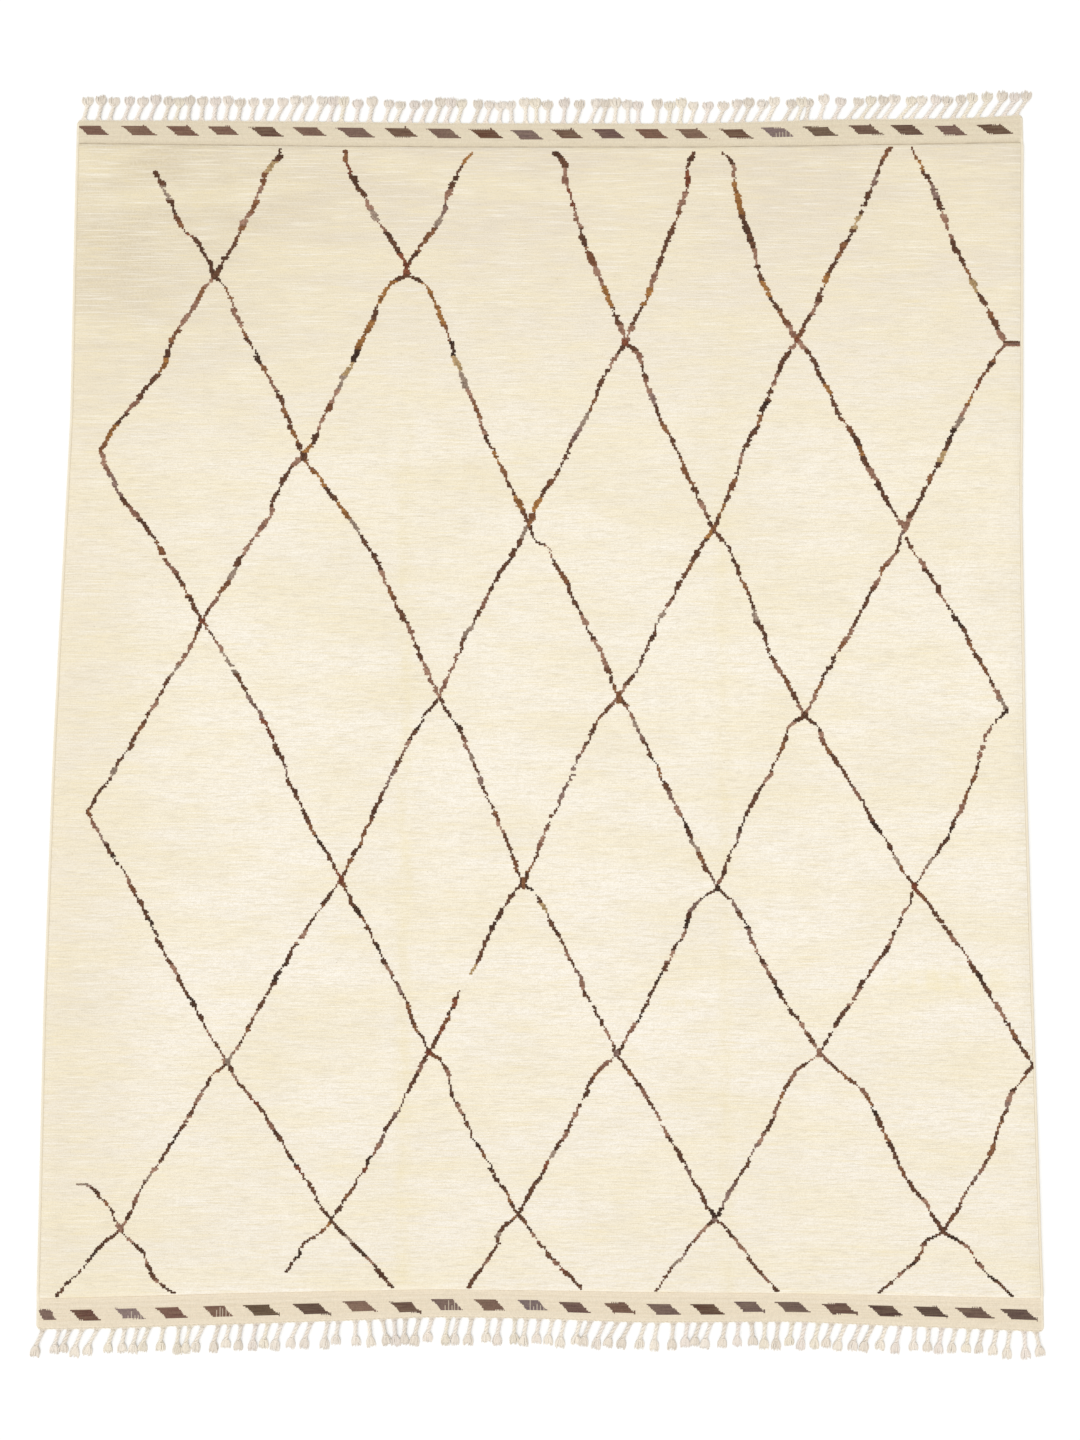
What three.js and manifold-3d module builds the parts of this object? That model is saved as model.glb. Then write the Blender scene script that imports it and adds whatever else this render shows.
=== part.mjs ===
// A hand-knotted wool rug, lying flat.
// Its ivory pile field ends in a flat-woven band on each short edge. Beyond each band lies a row of
// knotted tassels, made of the rug's own warp yarns.
// Sizes are millimetres. X runs across the rug, Y along it to the far end, and Z up from the underside.

import * as THREE from "three";
import { mergeVertices } from "three/addons/utils/BufferGeometryUtils.js";
import Module from "manifold-3d";

const wasm = await Module();
wasm.setup();

// Driving sizes of the cloth.
const WIDTH = 2430; // the width that positions across the rug are measured on
const PILE_THICKNESS = 10;
const BAND_THICKNESS = 3.6;
const GRID_STEP = 84; // spacing of the field's rows and columns
const UNEVEN = 0.45; // how far the pile's height wanders
const CORNER_REACH = 11; // length of a short edge that is rounded off at each corner
const CORNER_DROP = 5; // how far the edge has turned back at the corner itself
const CREASE_FADE = 150; // length in which a crease dies away at each of its ends

// Driving sizes of the fringe.
const FAR_TASSELS = 73;
const NEAR_TASSELS = 75;
const TASSEL_LENGTH = 65;
const LENGTH_WANDERS = 6;
const LEAN_WANDERS = 2.5;
const ROOT_MARGIN = 18; // from the cloth's side to the middle of the first root
const STRIP_DEPTH = 3.5; // the strip of knots in which all roots of one end are fused
const STRIP_FALL = 0.4; // how much lower the strip is at its outer side
const STRIP_GAP = 0.3; // between that strip and the band's edge
const ROOT_SUNK = 1.2; // from the strip's inner side to a root's end inside it
const HEAD_CLEARANCE = 2; // at least this much between two heads
const EVEN_LEAN = 0.45; // share of its lean that a cord takes up evenly, the rest in one bend
const BEND_START = -0.1; // where along a tassel that bend starts and ends, as shares of its length
const BEND_END = 0.76;
const TURN_SPAN = 0.05; // share of the length to each side over which a tassel's direction is taken

// The two long sides, from the near end to the far end.
const SIDES = [
  { along: -1500, left: -1231, right: 1232 },
  { along: -694, left: -1227, right: 1220 },
  { along: -100, left: -1216, right: 1213 },
  { along: 300, left: -1203, right: 1214 },
  { along: 556, left: -1194, right: 1215 },
  { along: 760, left: -1187, right: 1221 },
  { along: 1150, left: -1186, right: 1229 },
  { along: 1550, left: -1184, right: 1236 },
];

// Each short end from left to right: the outer edge of its band, and where the pile starts.
const FAR_END = [
  { across: -1250, edge: 1536, pile: 1476 },
  { across: -870, edge: 1535, pile: 1471 },
  { across: -537, edge: 1532, pile: 1467 },
  { across: -230, edge: 1528, pile: 1465 },
  { across: 384, edge: 1527, pile: 1465 },
  { across: 614, edge: 1533, pile: 1467 },
  { across: 744, edge: 1538, pile: 1469 },
  { across: 1054, edge: 1540, pile: 1474 },
  { across: 1148, edge: 1544, pile: 1476 },
  { across: 1250, edge: 1551, pile: 1478 },
];
const NEAR_END = [
  { across: -1250, edge: -1491, pile: -1418 },
  { across: -1075, edge: -1489, pile: -1414 },
  { across: -760, edge: -1479, pile: -1405 },
  { across: -445, edge: -1469, pile: -1399 },
  { across: -259, edge: -1461, pile: -1395 },
  { across: 0, edge: -1465, pile: -1398 },
  { across: 254, edge: -1475, pile: -1402 },
  { across: 609, edge: -1472, pile: -1405 },
  { across: 882, edge: -1483, pile: -1410 },
  { across: 1151, edge: -1493, pile: -1416 },
  { across: 1250, edge: -1498, pile: -1418 },
];

// The top of the cloth from a short edge inwards: a share of the band's depth, plus millimetres.
const END_PROFILE = [
  { share: 0, inset: 0, height: 2.2 },
  { share: 0, inset: 1.8, height: BAND_THICKNESS },
  { share: 0.5, inset: 0, height: BAND_THICKNESS + 0.3 },
  { share: 1, inset: -1.2, height: BAND_THICKNESS - 0.2 },
  { share: 1, inset: 1.2, height: 7.8 },
  { share: 1, inset: 7, height: PILE_THICKNESS },
];

// The top of the cloth from a long side inwards: the overcast edge cord, a faint groove, then the pile.
const SIDE_PROFILE = [
  { inset: 0, height: 0.3 },
  { inset: 2, height: 0.66 },
  { inset: 6, height: 0.82 },
  { inset: 11, height: 0.76 },
  { inset: 17, height: 1 },
];

// Soft troughs where the rug was once folded, and one low ridge between them.
const CREASES = [
  { fromX: -345, fromY: 930, toX: -338, toY: -1380, depth: 1.2, reach: 30 },
  { fromX: 452, fromY: 1420, toX: 446, toY: -1390, depth: 0.9, reach: 30 },
  { fromX: -250, fromY: 640, toX: -50, toY: 545, depth: -0.6, reach: 55 },
];

// The pile's slow rise and fall: the length of a swell each way, how much its crests bend, and its share.
const SWELLS = [
  { across: 1090, along: 1340, bend: 0.9, share: 0.65 },
  { across: 450, along: 530, bend: 0.6, share: 0.35 },
];

// How far the head of a tassel lies to the right of its root, along each end.
const FAR_LEAN = [
  { across: -1166, lean: 6 },
  { across: -1000, lean: 15 },
  { across: -885, lean: 1 },
  { across: -742, lean: 7 },
  { across: -670, lean: 19 },
  { across: -560, lean: 19 },
  { across: -468, lean: 2 },
  { across: -380, lean: 12 },
  { across: -160, lean: 14 },
  { across: -80, lean: -5 },
  { across: 40, lean: -1 },
  { across: 125, lean: 17 },
  { across: 220, lean: -4 },
  { across: 370, lean: 6 },
  { across: 500, lean: 22 },
  { across: 611, lean: 24 },
  { across: 690, lean: 7 },
  { across: 785, lean: 28 },
  { across: 913, lean: 37 },
  { across: 1060, lean: 27 },
  { across: 1215, lean: 34 },
];
const NEAR_LEAN = [
  { across: -1217, lean: -20 },
  { across: -1165, lean: -12 },
  { across: -1075, lean: -27 },
  { across: -1010, lean: -8 },
  { across: -951, lean: -17 },
  { across: -890, lean: -3 },
  { across: -821, lean: -20 },
  { across: -710, lean: -4 },
  { across: -580, lean: -21 },
  { across: -445, lean: -2 },
  { across: -380, lean: 9 },
  { across: -280, lean: -15 },
  { across: -61, lean: -5 },
  { across: 98, lean: -11 },
  { across: 210, lean: -24 },
  { across: 335, lean: 0 },
  { across: 410, lean: -16 },
  { across: 523, lean: 5 },
  { across: 600, lean: -4 },
  { across: 814, lean: -22 },
  { across: 934, lean: -3 },
  { across: 1030, lean: -12 },
  { across: 1151, lean: -6 },
  { across: 1215, lean: 12 },
];

// One tassel from its root outwards: flared root, cord, knot, and the frayed head beyond the knot.
const TASSEL_SECTIONS = [
  { out: 0, width: 20, height: 3.3 },
  { out: 0.15, width: 9.4, height: 5.4 },
  { out: 0.42, width: 8.6, height: 6 },
  { out: 0.62, width: 9, height: 6.4 },
  { out: 0.71, width: 13, height: 8.4 },
  { out: 1, width: 21, height: 4.6 },
];
const TOP_SHARE = 0.72; // a section's top is narrower than its foot

// The value of a table's column at a place between two of its rows.
function valueAt(table, key, column, place) {
  const next = table.findIndex((row) => row[key] >= place);
  if (next === 0) return table[0][column];
  if (next < 0) return table[table.length - 1][column];
  const before = table[next - 1];
  const after = table[next];
  const share = (place - before[key]) / (after[key] - before[key]);
  return before[column] + (after[column] - before[column]) * share;
}

// A number from -1 to 1 that looks random and is the same each time.
function wander(seed) {
  const spread = Math.sin(seed * 12.9898 + 4.1414) * 43758.5453;
  return 2 * (spread - Math.floor(spread)) - 1;
}

// A place across the rug, given as a share of its width, at a place along it.
function acrossAt(share, along) {
  const left = valueAt(SIDES, "along", "left", along);
  const right = valueAt(SIDES, "along", "right", along);
  return left + (right - left) * share;
}

// How deep the creases are at a point, given on the nominal width.
function creaseDepth(x, y) {
  let depth = 0;
  for (const crease of CREASES) {
    const runX = crease.toX - crease.fromX;
    const runY = crease.toY - crease.fromY;
    const run = Math.hypot(runX, runY);
    const along = ((x - crease.fromX) * runX + (y - crease.fromY) * runY) / run;
    const aside = ((x - crease.fromX) * runY - (y - crease.fromY) * runX) / run;
    const fade = THREE.MathUtils.smoothstep(Math.min(along, run - along), 0, CREASE_FADE);
    depth += crease.depth * fade * Math.exp(-((aside / crease.reach) ** 2));
  }
  return depth;
}

// How far the pile rises above its even height at a point.
function unevenness(x, y) {
  let rise = 0;
  for (const { across, along, bend, share } of SWELLS) {
    const turnX = (2 * Math.PI * x) / across;
    const turnY = (2 * Math.PI * y) / along;
    rise += share * Math.sin(turnX + bend * Math.sin(turnY)) * Math.sin(turnY + bend);
  }
  return UNEVEN * rise;
}

// Shares of the width at which the cloth has a column of points.
function columnShares() {
  const offsets = [];
  const field = WIDTH - 2 * SIDE_PROFILE.at(-1).inset;
  const steps = Math.round(field / GRID_STEP);
  for (let i = 0; i <= steps; i++) offsets.push((i / steps - 0.5) * field);
  const lengthwise = CREASES.filter(({ fromX, toX }) => Math.abs(toX - fromX) < GRID_STEP);
  for (const crease of lengthwise) {
    const middle = (crease.fromX + crease.toX) / 2;
    const near = offsets.filter((offset) => Math.abs(offset - middle) > crease.reach);
    offsets.length = 0;
    offsets.push(...near, middle - crease.reach, middle, middle + crease.reach);
  }
  for (const { inset } of SIDE_PROFILE.slice(0, -1)) {
    offsets.push(inset - WIDTH / 2, WIDTH / 2 - inset);
  }
  return offsets.sort((a, b) => a - b).map((offset) => offset / WIDTH + 0.5);
}

// The rows of points along the rug. Each gives its nominal place, a point's place along the rug for
// its place across, the height of the cloth there, and how far it turns back at the corners.
function lengthRows() {
  const rows = [];
  const endRow = (end, inwards, { share, inset, height }) => ({
    nominal: valueAt(end, "across", "edge", 0) + inwards * inset,
    along: (x) => {
      const edge = valueAt(end, "across", "edge", x);
      return edge + (valueAt(end, "across", "pile", x) - edge) * share + inwards * inset;
    },
    height,
    drop: share === 0 ? inwards * CORNER_DROP : 0,
  });
  for (const line of END_PROFILE) rows.push(endRow(NEAR_END, 1, line));
  const inner = END_PROFILE.at(-1).inset;
  const nearPile = (x) => valueAt(NEAR_END, "across", "pile", x) + inner;
  const farPile = (x) => valueAt(FAR_END, "across", "pile", x) - inner;
  const steps = Math.round((farPile(0) - nearPile(0)) / GRID_STEP);
  for (let i = 1; i < steps; i++) {
    const share = i / steps;
    const along = (x) => nearPile(x) + (farPile(x) - nearPile(x)) * share;
    rows.push({ nominal: along(0), along, height: PILE_THICKNESS, drop: 0 });
  }
  for (const line of END_PROFILE.toReversed()) rows.push(endRow(FAR_END, -1, line));
  return rows;
}

// How far a column lies in from the nearer side, on the nominal width.
function sideInset(share) {
  return (0.5 - Math.abs(share - 0.5)) * WIDTH;
}

// The points of the cloth's top, row by row from the near end, each row from left to right.
function clothTop(rows, shares) {
  return rows.map((row) =>
    shares.map((share) => {
      const x = acrossAt(share, row.nominal);
      const inset = sideInset(share);
      const corner = Math.max(1 - inset / CORNER_REACH, 0) ** 2;
      const y = row.along(x) + row.drop * corner;
      const fullness = valueAt(SIDE_PROFILE, "inset", "height", inset);
      const inField = row.height === PILE_THICKNESS && fullness === 1;
      const nominalX = (share - 0.5) * WIDTH;
      const relief = inField ? unevenness(nominalX, y) - creaseDepth(nominalX, y) : 0;
      return new THREE.Vector3(x, y, row.height * fullness + relief);
    }),
  );
}

// A closed geometry from points and the triangles between them.
function closedGeometry(points, triangles) {
  const geometry = new THREE.BufferGeometry().setFromPoints(points);
  geometry.setIndex(triangles);
  geometry.computeVertexNormals();
  return geometry;
}

// The cloth: one solid with a flat underside, from the two bands' edges to the two sides.
function clothGeometry() {
  const rows = lengthRows();
  const shares = columnShares();
  const top = clothTop(rows, shares);
  const points = top.flat();
  const triangles = [];
  const width = shares.length;
  const at = (row, column) => row * width + column;
  for (let row = 0; row + 1 < rows.length; row++) {
    for (let column = 0; column + 1 < width; column++) {
      const [a, b] = [at(row, column), at(row, column + 1)];
      const [c, d] = [at(row + 1, column + 1), at(row + 1, column)];
      triangles.push(a, b, c, a, c, d);
    }
  }
  const rim = [];
  for (let column = 0; column < width; column++) rim.push(at(0, column));
  for (let row = 1; row < rows.length; row++) rim.push(at(row, width - 1));
  for (let column = width - 2; column >= 0; column--) rim.push(at(rows.length - 1, column));
  for (let row = rows.length - 2; row > 0; row--) rim.push(at(row, 0));
  const foot = points.length;
  for (const index of rim) points.push(points[index].clone().setZ(0));
  rim.forEach((upper, i) => {
    const next = (i + 1) % rim.length;
    triangles.push(upper, foot + i, foot + next, upper, foot + next, rim[next]);
  });
  const hub = points.length;
  points.push(new THREE.Vector3(0, 0, 0));
  rim.forEach((_, i) => triangles.push(hub, foot + ((i + 1) % rim.length), foot + i));
  return closedGeometry(points, triangles);
}

// A closed body through rings of four points, each ring listed in the same turning sense.
function loftGeometry(rings) {
  const points = rings.flat();
  const triangles = [];
  for (let ring = 0; ring + 1 < rings.length; ring++) {
    for (let side = 0; side < 4; side++) {
      const a = ring * 4 + side;
      const b = ring * 4 + ((side + 1) % 4);
      triangles.push(a, b, b + 4, a, b + 4, a + 4);
    }
  }
  const last = points.length - 4;
  triangles.push(0, 2, 1, 0, 3, 2);
  triangles.push(last, last + 1, last + 2, last, last + 2, last + 3);
  return closedGeometry(points, triangles);
}

// The outer edge of a band as the cloth has it: a row for each column of its points between the corners.
function bandEdge(end) {
  const nominal = valueAt(end, "across", "edge", 0);
  return columnShares()
    .filter((share) => sideInset(share) >= CORNER_REACH)
    .map((share) => {
      const across = acrossAt(share, nominal);
      return { across, edge: valueAt(end, "across", "edge", across) };
    });
}

// The strip of knots along a band's edge, a hair's breadth off it, as high as the band.
function stripRings(end, outwards) {
  const rings = bandEdge(end).map(({ across: x, edge }) => {
    const near = edge + outwards * STRIP_GAP;
    const far = near + outwards * STRIP_DEPTH;
    return [
      new THREE.Vector3(x, near, 0),
      new THREE.Vector3(x, far, 0),
      new THREE.Vector3(x, far, BAND_THICKNESS - STRIP_FALL),
      new THREE.Vector3(x, near, BAND_THICKNESS),
    ];
  });
  return outwards > 0 ? rings : rings.map((ring) => ring.toReversed());
}

// Where each tassel of one end has its root and its head, from left to right.
function tasselPlaces(end, leans, count, outwards) {
  const line = bandEdge(end);
  const nominal = valueAt(end, "across", "edge", 0);
  const first = acrossAt(0, nominal) + ROOT_MARGIN;
  const last = acrossAt(1, nominal) - ROOT_MARGIN;
  const headSpacing = TASSEL_SECTIONS.at(-1).width + HEAD_CLEARANCE;
  const places = [];
  for (let i = 0; i < count; i++) {
    const seed = outwards * (i + 1);
    const rootX = first + ((last - first) * i) / (count - 1);
    const lean = valueAt(leans, "across", "lean", rootX) + LEAN_WANDERS * wander(seed);
    const rightmost = places.at(-1)?.headX ?? -Infinity;
    const headX = Math.max(rootX + lean, rightmost + headSpacing);
    const rootY = valueAt(line, "across", "edge", rootX) + outwards * (STRIP_GAP + ROOT_SUNK);
    const length = TASSEL_LENGTH + LENGTH_WANDERS * wander(seed + 0.5);
    places.push({ rootX, rootY, headX, headY: rootY + outwards * length });
  }
  return places;
}

// A tassel's middle line: it takes up its lean in the cord, and its head points nearly straight out.
function tasselPoint({ rootX, rootY, headX, headY }, out) {
  const bend = THREE.MathUtils.smoothstep(out, BEND_START, BEND_END);
  const x = rootX + (headX - rootX) * (EVEN_LEAN * out + (1 - EVEN_LEAN) * bend);
  return new THREE.Vector2(x, rootY + (headY - rootY) * out);
}

// One tassel as a body of four sides that rests level on its foot.
function tasselGeometry(place, outwards) {
  const rings = TASSEL_SECTIONS.map(({ out, width, height }) => {
    const middle = tasselPoint(place, out);
    const behind = tasselPoint(place, out - TURN_SPAN);
    const ahead = tasselPoint(place, out + TURN_SPAN).sub(behind).normalize();
    const aside = out === 0 ? new THREE.Vector2(1, 0) : new THREE.Vector2(ahead.y, -ahead.x);
    if (aside.x < 0) aside.negate();
    const corner = (reach, z) =>
      new THREE.Vector3(middle.x + aside.x * reach, middle.y + aside.y * reach, z);
    const foot = width / 2;
    const top = foot * TOP_SHARE;
    return [corner(-foot, 0), corner(foot, 0), corner(top, height), corner(-top, height)];
  });
  return loftGeometry(outwards > 0 ? rings.map((ring) => ring.toReversed()) : rings);
}

// A closed geometry as a solid that can be joined to others.
function solidOf(geometry) {
  const bare = geometry.clone();
  bare.deleteAttribute("normal");
  const merged = mergeVertices(bare, 1e-4);
  return new wasm.Manifold(
    new wasm.Mesh({
      numProp: 3,
      vertProperties: merged.attributes.position.array,
      triVerts: new Uint32Array(merged.index.array),
    }),
  );
}

// A joined solid as a geometry again.
function geometryOf(solid) {
  const mesh = solid.getMesh();
  const geometry = new THREE.BufferGeometry();
  geometry.setAttribute("position", new THREE.BufferAttribute(mesh.vertProperties, mesh.numProp));
  geometry.setIndex(new THREE.BufferAttribute(mesh.triVerts, 1));
  geometry.computeVertexNormals();
  return geometry;
}

// The fringe of one end: its tassels stand apart, and their roots are fused into the strip.
function fringeGeometry(end, leans, count, outwards) {
  const strip = solidOf(loftGeometry(stripRings(end, outwards)));
  const places = tasselPlaces(end, leans, count, outwards);
  const tassels = places.map((place) => solidOf(tasselGeometry(place, outwards)));
  return geometryOf(wasm.Manifold.union([strip, ...tassels]));
}

const pileWool = new THREE.MeshStandardMaterial({ color: 0xf1e7cf, roughness: 0.95, metalness: 0 });
const fringeYarn = new THREE.MeshStandardMaterial({ color: 0xe2d7c4, roughness: 0.95, metalness: 0 });

function piece(name, geometry, material) {
  const mesh = new THREE.Mesh(geometry, material);
  mesh.name = name;
  return mesh;
}

const part = new THREE.Group();
part.add(piece("rug", clothGeometry(), pileWool));
part.add(piece("far_fringe", fringeGeometry(FAR_END, FAR_LEAN, FAR_TASSELS, 1), fringeYarn));
part.add(piece("near_fringe", fringeGeometry(NEAR_END, NEAR_LEAN, NEAR_TASSELS, -1), fringeYarn));

// The origin is on the floor under the middle of the whole rug, fringe included.
const middle = new THREE.Box3().setFromObject(part).getCenter(new THREE.Vector3());
for (const mesh of part.children) mesh.position.set(-middle.x, -middle.y, 0);

export default part;
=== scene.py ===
"""A hand-knotted wool rug on a pale floor, seen from above.

Its ivory pile field carries a lattice of brown knots. A flat-woven band with a row of brown figures ends
it at both short sides, an overcast cord runs down each long side, and the warp yarns leave both bands as
knotted tassels. Lengths are metres, and names that end in _MM are millimetres.
"""
import math
import random
from collections import namedtuple

import bpy
import numpy as np
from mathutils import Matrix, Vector, noise
from mathutils.bvhtree import BVHTree


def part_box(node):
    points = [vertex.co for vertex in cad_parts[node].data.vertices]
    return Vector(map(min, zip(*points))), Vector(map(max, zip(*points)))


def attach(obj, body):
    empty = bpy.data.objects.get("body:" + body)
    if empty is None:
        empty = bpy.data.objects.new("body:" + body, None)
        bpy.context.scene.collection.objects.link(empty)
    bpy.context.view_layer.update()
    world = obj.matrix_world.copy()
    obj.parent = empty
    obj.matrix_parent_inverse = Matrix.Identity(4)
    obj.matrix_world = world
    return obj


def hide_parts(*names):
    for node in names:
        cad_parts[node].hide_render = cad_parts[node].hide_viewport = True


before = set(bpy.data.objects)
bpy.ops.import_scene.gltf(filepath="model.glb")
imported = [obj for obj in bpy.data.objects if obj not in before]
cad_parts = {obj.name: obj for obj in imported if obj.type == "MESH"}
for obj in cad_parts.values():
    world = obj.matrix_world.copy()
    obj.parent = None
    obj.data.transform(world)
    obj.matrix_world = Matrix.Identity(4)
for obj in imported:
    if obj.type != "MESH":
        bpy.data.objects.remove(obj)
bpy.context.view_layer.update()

MM = 0.001

# The photograph's frame in pixels, and the camera that matches it.
PHOTO_WIDTH = 1080
PHOTO_HEIGHT = 1440
LENS_MM = 46
SENSOR_MM = 36
CAMERA_TILT = math.radians(4)  # from straight down, towards the near side
CAMERA_DISTANCE = 4.6
AIM_FROM_MIDDLE = Vector((-0.0024, -0.0264, 0))  # where the camera aims, from the middle of the cloth

# The cloth.
KNOT_MM = 4.2  # from one knot to the next, both ways
PILE_COLUMN_MM = 27
PILE_LINE_HEIGHT_MM = 5.7  # between the band's height and the pile's, so it finds where the pile starts
WALL_HEIGHT_MM = 0.5  # low on the cloth's edge, so it finds the outline
SIDE_ROUNDING_MM = (8, 9.5, 12, 17)  # columns of points where the pile rounds down to the edge cord
END_ROUNDING_MM = (0, 0.8, 2.5, 5, 9)  # rows of points where the pile rounds down to a band
BAND_TOP_MM = 3.9
BAND_SIDE_MM = 3
BAND_ROW_MM = 3
BAND_UNDER_PILE_MM = 0.5
RIB_DEPTH_MM = 0.5
CORD_MIDDLE_MM = 4.3  # from the cloth's side to the middle of its edge cord
CORD_HALF_WIDTH_MM = 4.4
CORD_TOP_AT_MM = 6  # where the cord's height is read
WRAP_MM = 4.4  # from one turn of the overcast yarn to the next
WRAP_DEPTH_MM = 0.55
PILE_TOP_MM = 10
KNOT_SUNK_MM = 0.35  # how far a brown tuft's middle lies under the pile's top
FAR_HALF_STARTS = 0.35
FLOOR_LEVEL = -0.0004
FLOOR_REACH = 30


def surface_point(across, down, height_mm=0):
    """The place on a level plane that a pixel of the photograph shows."""
    along = math.cos(CAMERA_TILT)
    lean = math.sin(CAMERA_TILT)
    focal = LENS_MM / SENSOR_MM * PHOTO_HEIGHT
    right = (across - PHOTO_WIDTH / 2) / focal
    up = (PHOTO_HEIGHT / 2 - down) / focal
    ray = Vector((right, lean + up * along, up * lean - along))
    return camera_place + ray * ((camera_place.z - height_mm * MM) / -ray.z)


cloth_low, cloth_high = (Vector(corner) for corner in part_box("rug"))
aim = (cloth_low + cloth_high) / 2 + AIM_FROM_MIDDLE
aim.z = 0
camera_place = aim + Vector((0, -math.sin(CAMERA_TILT), math.cos(CAMERA_TILT))) * CAMERA_DISTANCE


def make_camera():
    data = bpy.data.cameras.new("camera")
    data.lens = LENS_MM
    data.sensor_width = SENSOR_MM
    camera = bpy.data.objects.new("camera", data)
    camera.location = camera_place
    camera.rotation_euler = (CAMERA_TILT, 0, 0)
    bpy.context.collection.objects.link(camera)
    bpy.context.scene.camera = camera


def hex_colour(text):
    """An sRGB hex colour as linear red, green, blue and alpha."""
    parts = (int(text[i:i + 2], 16) / 255 for i in (1, 3, 5))
    linear = [c / 12.92 if c <= 0.04045 else ((c + 0.055) / 1.055) ** 2.4 for c in parts]
    return (*linear, 1.0)


def add_node(tree, kind, inputs=None, **settings):
    """A node of that kind with its settings made, and its inputs set to values or linked to sockets. A node
    as an input stands for its first output in use."""
    node = tree.nodes.new(kind)
    for name, value in settings.items():
        setattr(node, name, value)
    for name, value in (inputs or {}).items():
        if isinstance(value, bpy.types.Node):
            value = next(socket for socket in value.outputs if socket.enabled)
        if isinstance(value, bpy.types.NodeSocket):
            tree.links.new(value, node.inputs[name])
        else:
            node.inputs[name].default_value = value
    return node


# Materials

A, B = 6, 7  # a Mix node's two colour inputs
SHIFT_ALONG = 0.7  # of a pattern's shift across

# The ivory from the near end to the far one: its tones at shares of the way between two places.
IVORY_LENGTH = (-1.5, 1.5)
IVORY_TONES = (
    (0, "#F0E8DA"), (0.25, "#F6EFE3"), (0.5, "#F6EFE1"), (0.72, "#F3EBDB"), (0.88, "#E5DAC7"), (1, "#DACDB7"),
)

# A tone that comes in along an axis of the rug: none at its start, and its most at its end.
Fade = namedtuple("Fade", "axis start end most")
LEFT_MARGIN = Fade("X", -0.85, -1.2, 0.6)
LEFTWARDS = Fade("X", -0.2, -1.1, 0.85)
FARWARDS = Fade("Y", 0.5, 1.4, 1)
MARGIN_TONE = "#E5D9C2"
CORNER_TONE = "#CFC1A4"

# A tone in patches of that size: none where their pattern is under its start, and its most over its full.
Layer = namedtuple("Layer", "across_mm along_mm shift detail roughness start full most tone")
IVORY_LAYERS = (
    Layer(420, 230, 4.4, 3, 0.6, 0.46, 0.64, 0.4, "#E6DCC6"),  # broad patches that have greyed with use
    Layer(420, 85, 0, 4, 0.5, 0.44, 0.6, 0.5, "#EFE3C2"),  # broad bands where the spinner's batches change
    Layer(90, 3.7, 3.1, 2, 0.6, 0.48, 0.7, 0.6, "#ECDDB4"),  # single rows of yellower wool
    Layer(130, 3.2, 9.2, 2, 0.5, 0.52, 0.68, 0.6, "#F8F3E8"),  # long hair-thin rows of pale wool
    Layer(38, 3.2, 7.7, 2, 0.65, 0.5, 0.72, 0.6, "#D5CAB2"),  # shorter stretches of greyer wool
    Layer(9, 2.6, 11.3, 1, 0.5, 0.74, 0.82, 0.6, "#9A8A70"),  # dark fibres spun in with the white
)
BROWN_FIBRES = Layer(1.3, 1.3, 0, 2, 0.5, 0.45, 0.75, 0.12, "#8A6A52")
WORN_WEFT = Layer(60, 2.4, 5.2, 3, 0.5, 0.4, 0.75, 0.24, "#BCA986")
EDGE_BATCHES = Layer(40, 55, 2.3, 2, 0.5, 0, 1, 1, "#E5DAC3")
WARP_FIBRES = Layer(1.4, 1.4, 0, 3, 0.5, 0.4, 0.75, 0.15, "#D2C2A8")
FLOOR_CLOUDS = Layer(900, 900, 0, 2, 0.5, 0, 1, 1, "#F8F8F7")
EDGE_TONE = "#EDE3CE"
FLOOR_TONE = "#FAFAF9"

# The single tufts of the pile, as start, full, most and tone.
TUFT_LOTS = (0.35, 1.0, 0.42, "#E4D9C3")
# painted shade in the gaps between the tufts' ends
TUFT_GAP_SHADE = (0.35, 0.85, 0.2, "#C9BA9C")
FIBRE_RELIEF = 0.35  # of a tuft's

# Yellowed and stained places. Their tones come and go with a cloudy pattern of that size and shift.
STAIN_CLOUDS = (26, 60, 2.2)
STAIN_CLOUD_RANGE = (0.3, 0.66)
FOLD_STAINS = ((-0.345, 0.28), (0.45, 0.2))  # where it was folded in store: place across, and how yellowed
FOLD_STAIN_MM = 34
FOLD_FADES = (0.95, 0.5)  # places along where the folds' yellow starts and is full
FOLD_TONE = "#E4D5A4"
Spill = namedtuple("Spill", "across down half_across_mm half_along_mm share tone")
SPILLS = (
    Spill(945, 980, 230, 42, 0.42, "#EBDDAE"),
    Spill(684, 1003, 78, 14, 0.45, "#E6D6A4"),
    Spill(465, 467, 56, 11, 0.3, "#D8C6A0"),
    Spill(482, 480, 120, 60, 0.2, "#E2D4B0"),
)
SPILL_CORE = 0.3  # of a spill's half width, where it has its full share


def new_material(name):
    material = bpy.data.materials.new(name)
    material.use_nodes = True
    material.node_tree.nodes.clear()
    return material, material.node_tree


def stretched(tree, across_mm, along_mm, shift=0.0):
    """Object coordinates in units of a pattern's length across and along the rug."""
    place = add_node(tree, "ShaderNodeTexCoord").outputs["Object"]
    scale = (1 / (across_mm * MM), 1 / (along_mm * MM), 1 / (across_mm * MM))
    return add_node(tree, "ShaderNodeMapping", {
        "Vector": place, "Location": (shift, shift * SHIFT_ALONG, 0), "Scale": scale,
    })


def toned(tree, colour, share, tone):
    """The colour with that share of a tone in it."""
    inputs = {"Factor": share, A: colour, B: hex_colour(tone)}
    return add_node(tree, "ShaderNodeMix", inputs, data_type="RGBA")


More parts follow.
